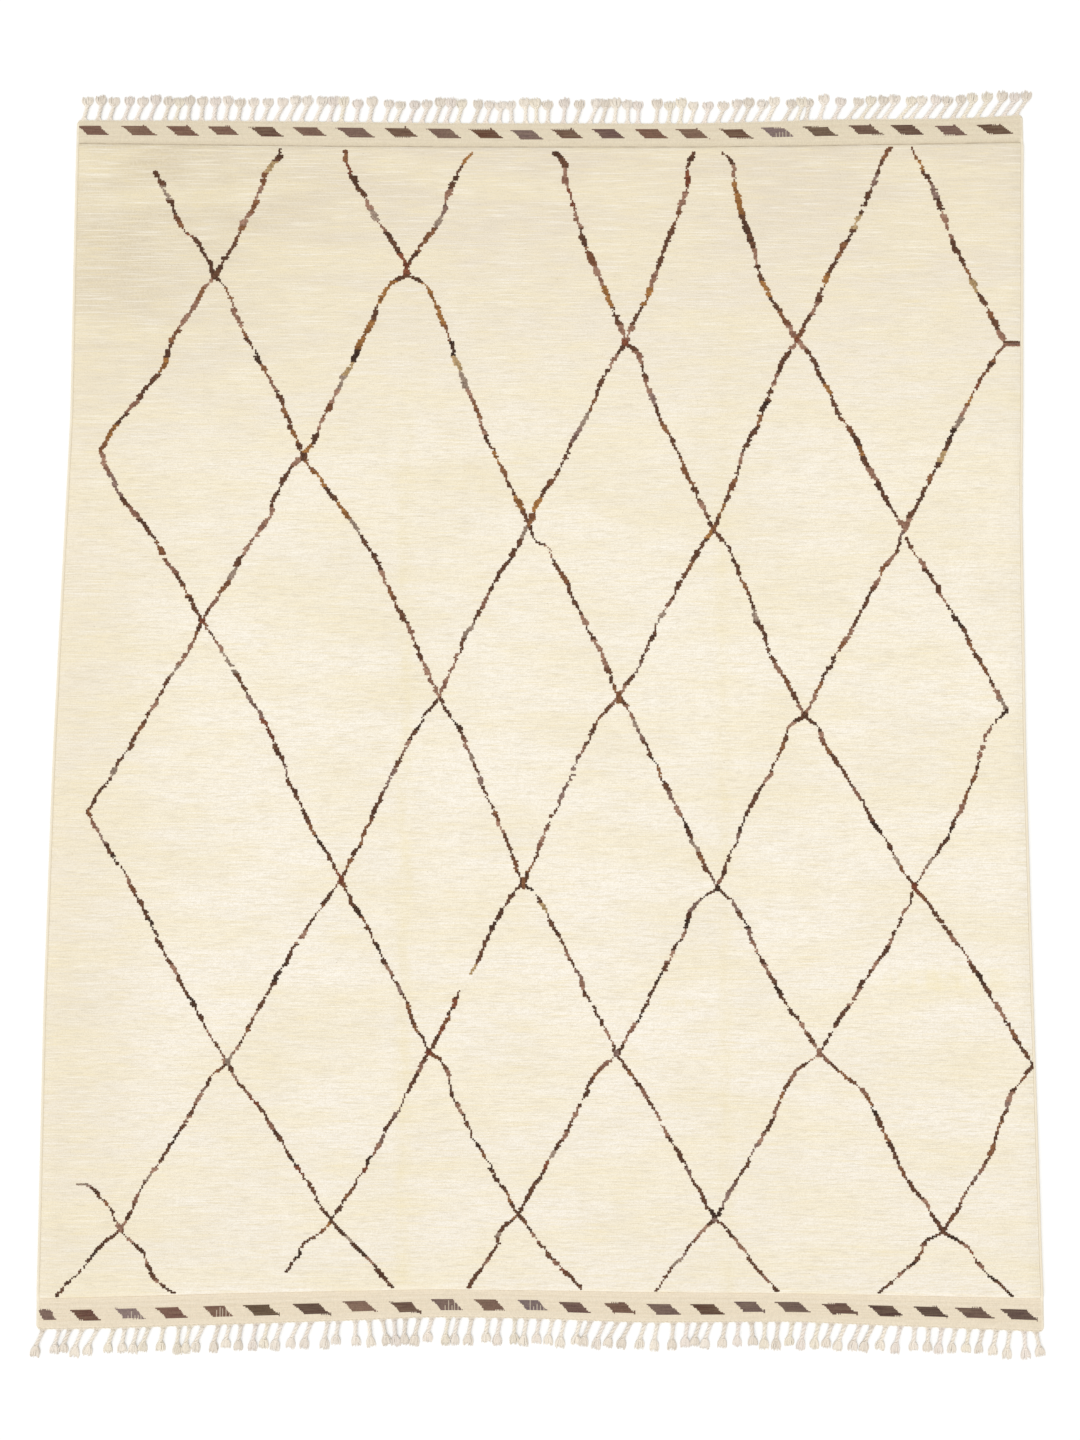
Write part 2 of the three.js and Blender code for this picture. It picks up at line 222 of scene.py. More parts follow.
def laid_over(tree, colour, pattern, start, full, most, tone):
    """The colour with a tone over it, the more the higher a pattern stands there."""
    share = add_node(tree, "ShaderNodeMapRange", {
        "Value": pattern, "From Min": start, "From Max": full, "To Max": most,
    })
    return toned(tree, colour, share, tone)


def mottled(tree, colour, layer):
    """The colour with a layer's patches over it, and their pattern."""
    pattern = add_node(tree, "ShaderNodeTexNoise", {
        "Vector": stretched(tree, layer.across_mm, layer.along_mm, layer.shift), "Scale": 1,
        "Detail": layer.detail, "Roughness": layer.roughness,
    })
    return laid_over(tree, colour, pattern, layer.start, layer.full, layer.most, layer.tone), pattern


def fibres(tree, across_mm, along_mm):
    """The pattern of single fibres, for a relief."""
    place = stretched(tree, across_mm, along_mm)
    return add_node(tree, "ShaderNodeTexNoise", {"Vector": place, "Scale": 1, "Detail": 2})


def own_shade(tree):
    """The shade that each of a mesh's yarns has of its own."""
    return add_node(tree, "ShaderNodeAttribute", attribute_name="yarn")


def finish_wool(tree, colour, height, depth_mm, sheen):
    """Wool: matt, with a soft sheen from fibre ends, and a relief of that depth."""
    bump = add_node(tree, "ShaderNodeBump", {"Height": height, "Strength": 1.0, "Distance": depth_mm * MM})
    wool = add_node(tree, "ShaderNodeBsdfPrincipled", {
        "Base Color": colour, "Roughness": 0.95, "Specular IOR Level": 0.25, "Sheen Weight": sheen,
        "Sheen Roughness": 0.6, "Normal": bump,
    })
    add_node(tree, "ShaderNodeOutputMaterial", {"Surface": wool})


def aged(tree, place, axes, colour):
    """The ivory's stained places: the folds' yellow lines and the spills."""
    cloud = add_node(tree, "ShaderNodeTexNoise", {
        "Vector": stretched(tree, *STAIN_CLOUDS), "Scale": 1, "Detail": 3,
    })
    patchy = add_node(tree, "ShaderNodeMapRange", {
        "Value": cloud, "From Min": STAIN_CLOUD_RANGE[0], "From Max": STAIN_CLOUD_RANGE[1],
    })
    reach = add_node(tree, "ShaderNodeMapRange", {
        "Value": axes.outputs["Y"], "From Min": FOLD_FADES[0], "From Max": FOLD_FADES[1],
    })
    stains = []
    for fold_x, share in FOLD_STAINS:
        off = add_node(tree, "ShaderNodeMath", {0: axes.outputs["X"], 1: fold_x}, operation="SUBTRACT")
        away = add_node(tree, "ShaderNodeMath", {0: off}, operation="ABSOLUTE")
        stain = add_node(tree, "ShaderNodeMapRange", {
            "Value": away, "From Max": FOLD_STAIN_MM * MM, "To Min": share, "To Max": 0,
        }, interpolation_type="SMOOTHSTEP")
        stain = add_node(tree, "ShaderNodeMath", {0: stain, 1: reach}, operation="MULTIPLY")
        stains.append((stain, FOLD_TONE))
    for spill in SPILLS:
        middle = surface_point(spill.across, spill.down, PILE_TOP_MM)
        halves = (1 / (spill.half_across_mm * MM), 1 / (spill.half_along_mm * MM), 0)
        off = add_node(tree, "ShaderNodeVectorMath", {0: place, 1: middle}, operation="SUBTRACT")
        sized = add_node(tree, "ShaderNodeVectorMath", {0: off, 1: halves}, operation="MULTIPLY")
        away = add_node(tree, "ShaderNodeVectorMath", {0: sized}, operation="LENGTH")
        stain = add_node(tree, "ShaderNodeMapRange", {
            "Value": away, "From Min": SPILL_CORE, "To Min": spill.share, "To Max": 0,
        }, interpolation_type="SMOOTHSTEP")
        stains.append((stain, spill.tone))
    for stain, tone in stains:
        share = add_node(tree, "ShaderNodeMath", {0: stain, 1: patchy}, operation="MULTIPLY")
        colour = toned(tree, colour, share, tone)
    return colour


def cut_pile_wool():
    """Undyed hand-spun wool, knotted and shorn low: each weft row holds slightly other yarn, so the ivory
    runs in thin streaks of cream, pale yellow and pale grey across the rug."""
    material, tree = new_material("cut_pile_hand_spun_wool")
    place = add_node(tree, "ShaderNodeTexCoord").outputs["Object"]
    axes = add_node(tree, "ShaderNodeSeparateXYZ", {"Vector": place})
    along = add_node(tree, "ShaderNodeMapRange", {
        "Value": axes.outputs["Y"], "From Min": IVORY_LENGTH[0], "From Max": IVORY_LENGTH[1],
    })
    colour = add_node(tree, "ShaderNodeValToRGB", {"Fac": along})
    stops = colour.color_ramp.elements
    for spot, _ in IVORY_TONES[1:-1]:
        stops.new(spot)
    for stop, (_, tone) in zip(stops, IVORY_TONES):
        stop.color = hex_colour(tone)
    # The left margin is darker, and its far corner most.
    margin, leftwards, farwards = (
        add_node(tree, "ShaderNodeMapRange", {
            "Value": axes.outputs[fade.axis], "From Min": fade.start, "From Max": fade.end,
            "To Max": fade.most,
        }, interpolation_type="SMOOTHSTEP")
        for fade in (LEFT_MARGIN, LEFTWARDS, FARWARDS)
    )
    corner = add_node(tree, "ShaderNodeMath", {0: leftwards, 1: farwards}, operation="MULTIPLY")
    colour = toned(tree, colour, margin, MARGIN_TONE)
    colour = toned(tree, colour, corner, CORNER_TONE)
    for layer in IVORY_LAYERS:
        colour, _ = mottled(tree, colour, layer)
    # The tufts themselves, each of its own lot, with painted shade between their ends.
    tuft = add_node(tree, "ShaderNodeTexVoronoi", {
        "Vector": stretched(tree, KNOT_MM, KNOT_MM), "Scale": 1, "Randomness": 0.75,
    })
    lot = add_node(tree, "ShaderNodeSeparateColor", {"Color": tuft.outputs["Color"]})
    colour = laid_over(tree, colour, lot.outputs["Red"], *TUFT_LOTS)
    colour = laid_over(tree, colour, tuft, *TUFT_GAP_SHADE)
    colour = aged(tree, place, axes, colour)
    ends = add_node(tree, "ShaderNodeMath", {0: 1.0, 1: tuft}, operation="SUBTRACT")
    height = add_node(tree, "ShaderNodeMath", {
        0: fibres(tree, 1.1, 1.1), 1: FIBRE_RELIEF, 2: ends,
    }, operation="MULTIPLY_ADD")
    finish_wool(tree, colour, height, depth_mm=0.7, sheen=0.12)
    return material


def knotted_brown_wool():
    """Wool of brown and grey sheep, in tufts like the ivory pile: each stretch of knots keeps its own
    shade."""
    material, tree = new_material("cut_pile_brown_wool")
    colour, pattern = mottled(tree, own_shade(tree), BROWN_FIBRES)
    finish_wool(tree, colour, pattern, depth_mm=0.3, sheen=0.02)
    return material


def flat_woven_wool():
    """Weft-faced weave: the weft hides the warp, so its ribs run along the rug and it looks denser and
    greyer than the pile."""
    material, tree = new_material("flat_woven_wool")
    colour, _ = mottled(tree, own_shade(tree), WORN_WEFT)
    finish_wool(tree, colour, fibres(tree, 2.2, 0.9), depth_mm=0.25, sheen=0.08)
    return material


def overcast_edge_wool():
    """Ivory yarn wound round the outermost warps: smoother than the pile and slightly greyer."""
    material, tree = new_material("overcast_edge_wool")
    colour, _ = mottled(tree, hex_colour(EDGE_TONE), EDGE_BATCHES)
    finish_wool(tree, colour, fibres(tree, 2.6, 0.8), depth_mm=0.3, sheen=0.1)
    return material


def twisted_warp_yarn():
    """Undyed warp yarn, twisted by hand and knotted: pale beige, each tassel a shade of its own."""
    material, tree = new_material("twisted_warp_yarn")
    colour, pattern = mottled(tree, own_shade(tree), WARP_FIBRES)
    finish_wool(tree, colour, pattern, depth_mm=0.3, sheen=0.1)
    return material


def matt_floor():
    """A seamless painted floor: matt and almost white, with the faintest unevenness."""
    material, tree = new_material("matt_painted_floor")
    colour, _ = mottled(tree, hex_colour(FLOOR_TONE), FLOOR_CLOUDS)
    paint = add_node(tree, "ShaderNodeBsdfPrincipled", {
        "Base Color": colour, "Roughness": 0.9, "Specular IOR Level": 0.1,
    })
    add_node(tree, "ShaderNodeOutputMaterial", {"Surface": paint})
    return material


# Reading the cloth's solid

def shape_of(node):
    """A CAD node's surface, for rays."""
    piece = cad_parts[node]
    points = [piece.matrix_world @ vertex.co for vertex in piece.data.vertices]
    return BVHTree.FromPolygons(points, [tuple(face.vertices) for face in piece.data.polygons])


cloth = shape_of("rug")
TRIES_MM = (0, 0.13, -0.11, 0.37, -0.41)
REACH = 2.0  # further out than the cloth
ABOVE = 0.1  # higher than the cloth
END_INSET = 0.1  # the sides are read up to here from the ends
SIDE_SAMPLES = 240
END_SAMPLES = 200
CORNER_MM = (0, 1.5, 3.5, 6, 9, 14)  # where a rounded corner is read, from the side inwards
EDGE_INSET_MM = 0.3  # from the sides to the first and last reading of an end's outer edge
PILE_INSET_MM = 3  # and of its pile's


def ray_end(start, direction):
    """Where a ray meets the cloth; it is moved a hair where it runs exactly along an edge."""
    for shift in TRIES_MM:
        aside = Vector((direction[1] + direction[2], direction[0], 0)) * (shift * MM)
        found = cloth.ray_cast(Vector(start) + aside, Vector(direction))[0]
        if found is not None:
            return found
    return None


sample_ys = np.linspace(cloth_low.y + END_INSET, cloth_high.y - END_INSET, SIDE_SAMPLES)
left_xs = [ray_end((-REACH, y, WALL_HEIGHT_MM * MM), (1, 0, 0)).x for y in sample_ys]
right_xs = [ray_end((REACH, y, WALL_HEIGHT_MM * MM), (-1, 0, 0)).x for y in sample_ys]


def left_side(y):
    return np.interp(y, sample_ys, left_xs)


def right_side(y):
    return np.interp(y, sample_ys, right_xs)


def sample_end(outwards, height_mm, inset_mm):
    """Places across the rug, and how far along the cloth reaches there at that height, at one of its ends."""
    end_y = (cloth_high.y if outwards > 0 else cloth_low.y) - outwards * END_INSET
    first = left_side(end_y) + inset_mm * MM
    last = right_side(end_y) - inset_mm * MM
    corner = np.array(CORNER_MM) * MM
    even = np.linspace(first, last, END_SAMPLES)[2:-2]
    xs = np.concatenate((first + corner, even, last - corner[::-1]))
    ys = [ray_end((x, outwards * REACH, height_mm * MM), (0, -outwards, 0)).y for x in xs]
    return xs, ys


OUTWARDS = {"far": 1, "near": -1}
edges = {end: sample_end(way, WALL_HEIGHT_MM, EDGE_INSET_MM) for end, way in OUTWARDS.items()}
piles = {end: sample_end(way, PILE_LINE_HEIGHT_MM, PILE_INSET_MM) for end, way in OUTWARDS.items()}


def edge_at(end, x):
    return np.interp(x, *edges[end])


def pile_at(end, x):
    return np.interp(x, *piles[end])


def cloth_height(x, y):
    found = ray_end((x, y, ABOVE), (0, 0, -1))
    return found.z if found is not None else 0.0


# Making meshes

def add_piece(name, mesh):
    piece = bpy.data.objects.new(name, mesh)
    bpy.context.collection.objects.link(piece)
    return piece


def slab(name, top, material, ladder=False):
    """A closed slab with a flat underside on the floor, from a grid of its top's points.

    The grid runs from the near side, each row from left to right. The underside is one fan, or, on a long
    narrow slab, a ladder of quads with a fan at each end.
    """
    rows, columns = top.shape[:2]
    index = np.arange(rows * columns).reshape(rows, columns)
    faces = np.stack((index[:-1, :-1], index[:-1, 1:], index[1:, 1:], index[1:, :-1]), axis=-1)
    faces = faces.reshape(-1, 4).tolist()
    rim = np.concatenate((index[0, :], index[1:, -1], index[-1, -2::-1], index[-2:0:-1, 0])).tolist()
    points = top.reshape(-1, 3).tolist()
    foot = {upper: len(points) + i for i, upper in enumerate(rim)}
    points += [[points[i][0], points[i][1], 0.0] for i in rim]
    for upper, following in zip(rim, rim[1:] + rim[:1]):
        faces.append([upper, foot[upper], foot[following], following])

    def fan(uppers):
        ring = [foot[upper] for upper in uppers]
        hub = len(points)
        points.append(np.mean([points[i] for i in ring], axis=0).tolist())
        faces.extend([hub, following, i] for i, following in zip(ring, ring[1:] + ring[:1]))

    if ladder:
        near, far, left, right = (line.tolist() for line in (index[0], index[-1], index[:, 0], index[:, -1]))
        for i in range(1, columns - 2):
            faces.append([foot[near[i]], foot[far[i]], foot[far[i + 1]], foot[near[i + 1]]])
        fan((near[0], near[1], far[1], *reversed(left[1:])))
        fan((near[-2], *right, far[-2]))
    else:
        fan(rim)
    mesh = bpy.data.meshes.new(name)
    mesh.from_pydata(points, [], faces, shade_flat=False)
    mesh.materials.append(material)
    return add_piece(name, mesh)


def run_nodes(name, mesh, tree, inputs):
    """The plain mesh that a Geometry Nodes tree makes from a mesh, as a piece."""
    carrier = add_piece(name + "_lines", mesh)
    modifier = carrier.modifiers.new("nodes", "NODES")
    modifier.node_group = tree
    sockets = {item.name: item.identifier for item in tree.interface.items_tree}
    for socket, value in inputs.items():
        modifier[sockets[socket]] = value
    graph = bpy.context.evaluated_depsgraph_get()
    made = bpy.data.meshes.new_from_object(carrier.evaluated_get(graph))
    made.name = name
    bpy.data.objects.remove(carrier)
    return add_piece(name, made)


def new_tree(name, inputs):
    """An empty Geometry Nodes tree, and the sockets of its base and its named inputs."""
    tree = bpy.data.node_groups.new(name, "GeometryNodeTree")
    tree.interface.new_socket("Geometry", in_out="OUTPUT", socket_type="NodeSocketGeometry")
    tree.interface.new_socket("Base", in_out="INPUT", socket_type="NodeSocketGeometry")
    for title, kind in inputs.items():
        tree.interface.new_socket(title, in_out="INPUT", socket_type="NodeSocket" + kind)
    return tree, add_node(tree, "NodeGroupInput").outputs


def end_tree(tree, geometry, material):
    """The tree's last nodes: the instances made real, shaded smooth and given their material."""
    realized = add_node(tree, "GeometryNodeRealizeInstances", {"Geometry": geometry})
    smooth = add_node(tree, "GeometryNodeSetShadeSmooth", {"Geometry": realized})
    finished = add_node(tree, "GeometryNodeSetMaterial", {"Geometry": smooth, "Material": material})
    add_node(tree, "NodeGroupOutput", {0: finished})
    return tree


# Unevenness: how far a surface's waves stand off it, their lengths across and along the rug, and their place
# in the noise.
Wave = namedtuple("Wave", "depth_mm across_mm along_mm place")
FURROWS = Wave(0.45, 130, 8.5, 3)  # along the weft
SOFT_PATCHES = Wave(0.26, 70, 50, 9)
WEFT_ROWS = Wave(0.25, 50, 4, 5)


def relief(x, y, *waves):
    """How far a surface stands off its even height."""
    return sum(
        wave.depth_mm * MM
        * noise.noise(Vector((x / (wave.across_mm * MM), y / (wave.along_mm * MM), wave.place)))
        for wave in waves
    )


# The pile field

def pile_height(x, y):
    return cloth_height(x, y) + relief(x, y, FURROWS, SOFT_PATCHES)


def pile_rows(steps):
    """Each row of the pile's points, as where it starts from and how far from there it lies: rows that round
    down to the near band, even rows, and rows that round down to the far band."""
    ends = END_ROUNDING_MM[:-1]
    rows = [("near", inset_mm) for inset_mm in ends]
    rows += [("even", step / steps) for step in range(steps + 1)]
    return rows + [("far", inset_mm) for inset_mm in reversed(ends)]


def pile_place(x, start, away):
    """How far along the rug a point of a row of the pile lies."""
    near, far = pile_at("near", x), pile_at("far", x)
    if start == "even":
        inner = END_ROUNDING_MM[-1] * MM
        return near + inner + (far - near - 2 * inner) * away
    return near + away * MM if start == "near" else far - away * MM


def pile_field(material):
    width = right_side(0) - left_side(0)
    length = pile_at("far", 0) - pile_at("near", 0)
    columns = round(width / MM / PILE_COLUMN_MM)
    rounding = np.array(SIDE_ROUNDING_MM) * MM
    top = []
    for start, away in pile_rows(round(length / MM / KNOT_MM)):
        ys = [pile_place(0, start, away)]
        for _ in range(2):
            left, right = left_side(ys[0]), right_side(ys[-1])
            inner = np.linspace(left + rounding[-1], right - rounding[-1], columns + 1)
            xs = np.concatenate((left + rounding[:-1], inner, right - rounding[-2::-1]))
            ys = [pile_place(x, start, away) for x in xs]
        top.append([(x, y, pile_height(x, y)) for x, y in zip(xs, ys)])
    return slab("pile_field", np.array(top), material)


def make_floor(material):
    mesh = bpy.data.meshes.new("floor")
    corners = ((-1, -1), (1, -1), (1, 1), (-1, 1))
    points = [(x * FLOOR_REACH, y * FLOOR_REACH, FLOOR_LEVEL) for x, y in corners]
    mesh.from_pydata(points, [], [(0, 1, 2, 3)])
    mesh.materials.append(material)
    return add_piece("floor", mesh)


# The flat-woven bands and their figures

Figure = namedtuple("Figure", "across down length tone kind", defaults=("plain",))
FIGURES = {"far": [Figure(*row) for row in (
    (93.6, 130.6, 32.3, "#6B4B40"),
    (139, 130.5, 35.7, "#6F5244", "spiked"),
    (183, 131.1, 32.7, "#6A4A3E", "spiked"),
    (223.4, 130.6, 32.2, "#6B4D41"),
    (266.9, 131.9, 33.1, "#5B4034"),
    (309.9, 131.7, 35.3, "#6D5145"),
    (355.9, 132.7, 37.8, "#6A5048"),
    (401.6, 132.7, 34.3, "#5F4436", "spiked"),
    (444.4, 133.7, 33.2, "#6B5248"),
    (486.9, 134.0, 33.5, "#5A3828", "spiked"),
    (526.7, 134.5, 32.8, "#6F5A54"),
    (567.7, 134.2, 32.0, "#614437", "spiked"),
    (608.8, 133.9, 32.7, "#5F4440"),
    (651.2, 133.7, 33.5, "#6B4A3C"),
    (693.2, 134.1, 32.4, "#6E5344", "spiked"),
    (736.2, 133.7, 32.6, "#5B3C2E"),
    (778.4, 132.4, 33.5, "#73605F", "striped"),
    (820.9, 131.3, 34.0, "#5F4A3C"),
    (865.8, 130.1, 35.1, "#5F453A", "spiked"),
    (907.2, 129.9, 33.1, "#553A30"),
    (950.8, 130.5, 32.0, "#6B5048", "spiked"),
    (995.3, 129.4, 37.5, "#563C2E", "spiked"),
)], "near": [Figure(*row) for row in (
    (47.0, 1315.0, 17.7, "#6F5750"),
    (85.4, 1315.0, 31.2, "#5B3A30"),
    (130.0, 1313.6, 30.7, "#7D6A68", "striped"),
    (171.5, 1312.7, 32.7, "#6B4A40"),
    (218.4, 1311.3, 31.2, "#6A4C40", "striped"),
    (261.3, 1310.0, 37.7, "#53402F", "hooked"),
    (312.0, 1309.2, 39.3, "#4F3830", "hooked"),
    (359.6, 1306.2, 35.3, "#74594C"),
    (405.7, 1307.3, 31.0, "#5A4036", "hooked"),
    (447.0, 1304.7, 32.0, "#6B5550", "striped"),
    (490.0, 1305.0, 30.6, "#6D5347"),
    (532.3, 1305.0, 29.3, "#6B5A5C", "striped"),
    (574.5, 1307.5, 31.0, "#5F4540"),
    (619.5, 1308.0, 31.5, "#664A3E", "hooked"),
    (663.6, 1309.4, 35.3, "#65504A"),
    (707.2, 1309.0, 34.1, "#4F3429"),
    (749.4, 1306.6, 30.7, "#5F4A48", "hooked"),
    (793.0, 1307.1, 36.0, "#604C46"),
    (839.4, 1308.9, 37.3, "#5A4038", "hooked"),
    (886.2, 1310.9, 34.8, "#4C352F"),
    (930.9, 1311.7, 33.5, "#48332D", "hooked"),
    (974.0, 1312.8, 38.5, "#5D463E"),
    (1019.5, 1314.7, 37.0, "#54403A", "hooked"),
)]}
FIGURE_HEIGHT = {"far": 9.2, "near": 10.6}
FIGURE_SLANT = 0.35  # how far its upper right and lower left corners are drawn in, as a share of its length
FIGURE_POINT = 0.75  # under 1 draws its two tips out thin
FIGURE_TIP = 1.2
STITCH = 0.84  # pixels across
TOOTH = 0.2  # how much further every other stitch reaches
WEAR = 0.6  # how far a row's end strays
WEAR_ROWS = 24
ROWS_APART = 7  # so that a row's two ends stray apart
# A stray stitch at a corner: how far in from the corner its middle lies, half its width, and how far it
# stands out of the figure.
Stray = namedtuple("Stray", "inwards half out")
SPIKE = Stray(1.2, 0.9, 1.7)
HOOK = Stray(0.8, 0.8, 1.5)
# A striped figure has lighter lines, each one stitch wide, that start at some share of its half height.
LINE_STARTS = (-1, 0.4)
LINE_EVERY = 4  # stitches
LINE_COVER = 0.4  # how much of the figure's wool they keep
STITCHES = 64

BAND_TONES = {
    "far": ("#D9CCB4", "#DCD0B8", "#D7C9B0", "#DACEB5"),
    "near": ("#E3D6BF", "#E6D9C3", "#E1D3BB", "#E4D7C0"),
}
WEFT_SHADES = (0.95, 1.06)
FIGURE_SHADES = (0.82, 1.2)
BAND_RIM_MM = ((0, 1.1), (0.8, 2.1), (2.2, None))  # its outer rows: how far in, and how high if it is set
BAND_EVEN_FROM_MM = 4.4
BAND_SIDES_AT = 0.03  # its sides are read this far in
# Painted shadow at the far pile's foot: how wide and how dark it is, and how its darkness strays.
CREVICE_SHADOW_TONE = "#A8987F"
CREVICE_MM = 1.7
CREVICE_DARK = 0.35
CREVICE_DARKEST = 0.8
CREVICE_STRAY = 1.6
CREVICE_STRAYS_OVER = 0.04
CREVICE_LEVEL = (2, 7)  # where in the noise it is read


def figure_cover(x, y, end, chance):
    """How much of each small face of a band is a figure's wool, and that wool's colour."""
    cover = np.zeros(x.shape)
    colours = np.zeros((*x.shape, 4))
    height = FIGURE_HEIGHT[end]
    for figure in FIGURES[end]:
        middle, aside, below = (
            surface_point(figure.across + right, figure.down + lower, BAND_TOP_MM)
            for right, lower in ((0, 0), (1, 0), (0, 1))
        )
        across = (x - middle.x) / (aside.x - middle.x)
        down = (y - middle.y) / (below.y - middle.y)
        share = np.clip(down / height + 0.5, 0, 1)
        wear = np.array([chance.uniform(-WEAR, WEAR) for _ in range(WEAR_ROWS)])
        row = np.clip(np.round(down + WEAR_ROWS / 2), 0, WEAR_ROWS - 1).astype(int)
        half = figure.length / 2 + FIGURE_TIP
        left = -half + FIGURE_SLANT * figure.length * share ** FIGURE_POINT + wear[row]
        right = half - FIGURE_SLANT * figure.length * (1 - share) ** FIGURE_POINT
        right += wear[(row + ROWS_APART) % WEAR_ROWS]
        teeth = np.where(np.floor(across / STITCH) % 2 == 0, TOOTH, 0)
        inside = (np.abs(down + teeth) <= height / 2) & (across >= left) & (across <= right)
        if figure.kind == "spiked":
            corner = figure.length * (0.5 - FIGURE_SLANT) - SPIKE.inwards
            spike = (down < 0) & (down > -height / 2 - SPIKE.out)
            inside |= spike & (np.abs(across - corner) < SPIKE.half)
        if figure.kind == "hooked":
            tip = figure.length / 2 - HOOK.inwards
            hook = (down > height / 4) & (down < height / 2 + HOOK.out)
            inside |= hook & (np.abs(across - tip) < HOOK.half)
        cover[inside] = 1
        colours[inside] = hex_colour(figure.tone)
        if figure.kind == "striped":
            starts = np.array([chance.uniform(*LINE_STARTS) for _ in range(STITCHES)])
            stitch = np.clip(np.floor(across / STITCH) + STITCHES / 2, 0, STITCHES - 1).astype(int)
            lines = (stitch % LINE_EVERY == 1) & (across > -figure.length / 8)
            cover[inside & lines & (down > starts[stitch] * height / 2)] = LINE_COVER
    return cover, colours


def paint_faces(mesh, colours):
    """One colour for each of a mesh's first faces, and the last one for the rest."""
    attribute = mesh.color_attributes.new("yarn", "FLOAT_COLOR", "CORNER")
    counts = np.empty(len(mesh.polygons), dtype=int)
    mesh.polygons.foreach_get("loop_total", counts)
    every = np.vstack((colours, np.repeat(colours[-1:], len(counts) - len(colours), axis=0)))
    attribute.data.foreach_set("color", np.repeat(every, counts, axis=0).ravel())


def band_top(end):
    """A band's points, row by row from its outer edge to just under the pile."""
    way = OUTWARDS[end]
    side_y = edge_at(end, 0) - way * BAND_SIDES_AT
    start = left_side(side_y) + BAND_SIDE_MM * MM
    stop = right_side(side_y) - BAND_SIDE_MM * MM
    columns = 2 * round((stop - start) / MM / KNOT_MM) + 1
    xs = np.linspace(start, stop, columns)
    outer_ys = edge_at(end, xs)
    inner_ys = pile_at(end, xs) - way * BAND_UNDER_PILE_MM * MM
    depth_mm = abs(edge_at(end, 0) - pile_at(end, 0)) / MM
    steps = round((depth_mm - BAND_EVEN_FROM_MM) / BAND_ROW_MM)
    even = [(inset_mm, None) for inset_mm in np.linspace(BAND_EVEN_FROM_MM, depth_mm, steps + 1)]
    ribs = np.where(np.arange(columns) % 2 == 0, 0.5, -0.5) * RIB_DEPTH_MM * MM
    rows = []
    for row, (inset_mm, height_mm) in enumerate((*BAND_RIM_MM, *even)):
        ys = outer_ys + (inner_ys - outer_ys) * (inset_mm / depth_mm)
        heights = np.array([min(cloth_height(x, y), BAND_TOP_MM * MM) for x, y in zip(xs, ys)])
        if height_mm is not None:
            heights = np.full(columns, height_mm * MM)
        uneven = np.array([relief(x, y, WEFT_ROWS) for x, y in zip(xs, ys)])
        rows.append(np.stack((xs, ys, heights + ribs * min(1, row / 2) + uneven), axis=-1))
    return np.array(rows[::-1] if way > 0 else rows)


def woven_band(end, material):
    """The flat-woven band at one end, with a colour for each of its small faces."""
    name = end + "_band"
    chance = random.Random(name)
    top = band_top(end)
    band = slab(name, top, material, ladder=True)

    centres = (top[:-1, :-1] + top[1:, :-1] + top[:-1, 1:] + top[1:, 1:]) / 4
    x, y = centres[..., 0], centres[..., 1]
    cover, figured = figure_cover(x, y, end, chance)
    ground = [np.array(hex_colour(tone)) for tone in BAND_TONES[end]]
    wefts = [ground[chance.randrange(len(ground))] for _ in x]
    foot_shadow = np.array(hex_colour(CREVICE_SHADOW_TONE))
    gap_mm = np.abs(y - pile_at(end, x[0])) / MM
    colours = np.empty((*x.shape, 4))
    for row, column in np.ndindex(x.shape):
        here = wefts[row] * chance.uniform(*WEFT_SHADES)
        share = cover[row, column]
        if share:
            wool = figured[row, column] * chance.uniform(*FIGURE_SHADES)
            here = wool * share + wefts[row] * (1 - share)
        # Painted shadow along the far pile's foot, darker in some stretches than others.
        if end == "far" and gap_mm[row, column] < CREVICE_MM:
            along = x[row, column] / CREVICE_STRAYS_OVER
            stray = noise.noise(Vector((along, *CREVICE_LEVEL))) * CREVICE_STRAY
            dark = max(0, min(CREVICE_DARKEST, CREVICE_DARK + stray))
            here = here + (foot_shadow - here) * dark
        colours[row, column] = here
    colours[..., 3] = 1
    paint_faces(band.data, colours.reshape(-1, 4))
    return band


# The lattice

# The brown wools, by the letters that the charts below use: each is a few shades of one yarn.
WOOLS = {
    "B": ("#38251A", "#442E20"),  # near black
    "U": ("#5E3D2A", "#664430", "#523525"),  # umber
    "C": ("#7F5437", "#734A31", "#895E3E"),  # chestnut
    "S": ("#75402B", "#693825", "#814B33"),  # russet
    "A": ("#966736", "#84582F", "#A2713D"),  # amber
    "T": ("#B5996F", "#A78C63"),  # tan
    "R": ("#946F5B", "#855F4D", "#A07C68"),  # rose grey
    "M": ("#82665A", "#745A4F", "#8E7469"),  # mauve
    "G": ("#9F8B7A", "#8F7C6C"),  # light grey
}
BREAK = "-"  # a knot or two left out
GAP = "_"  # a whole stretch left ivory

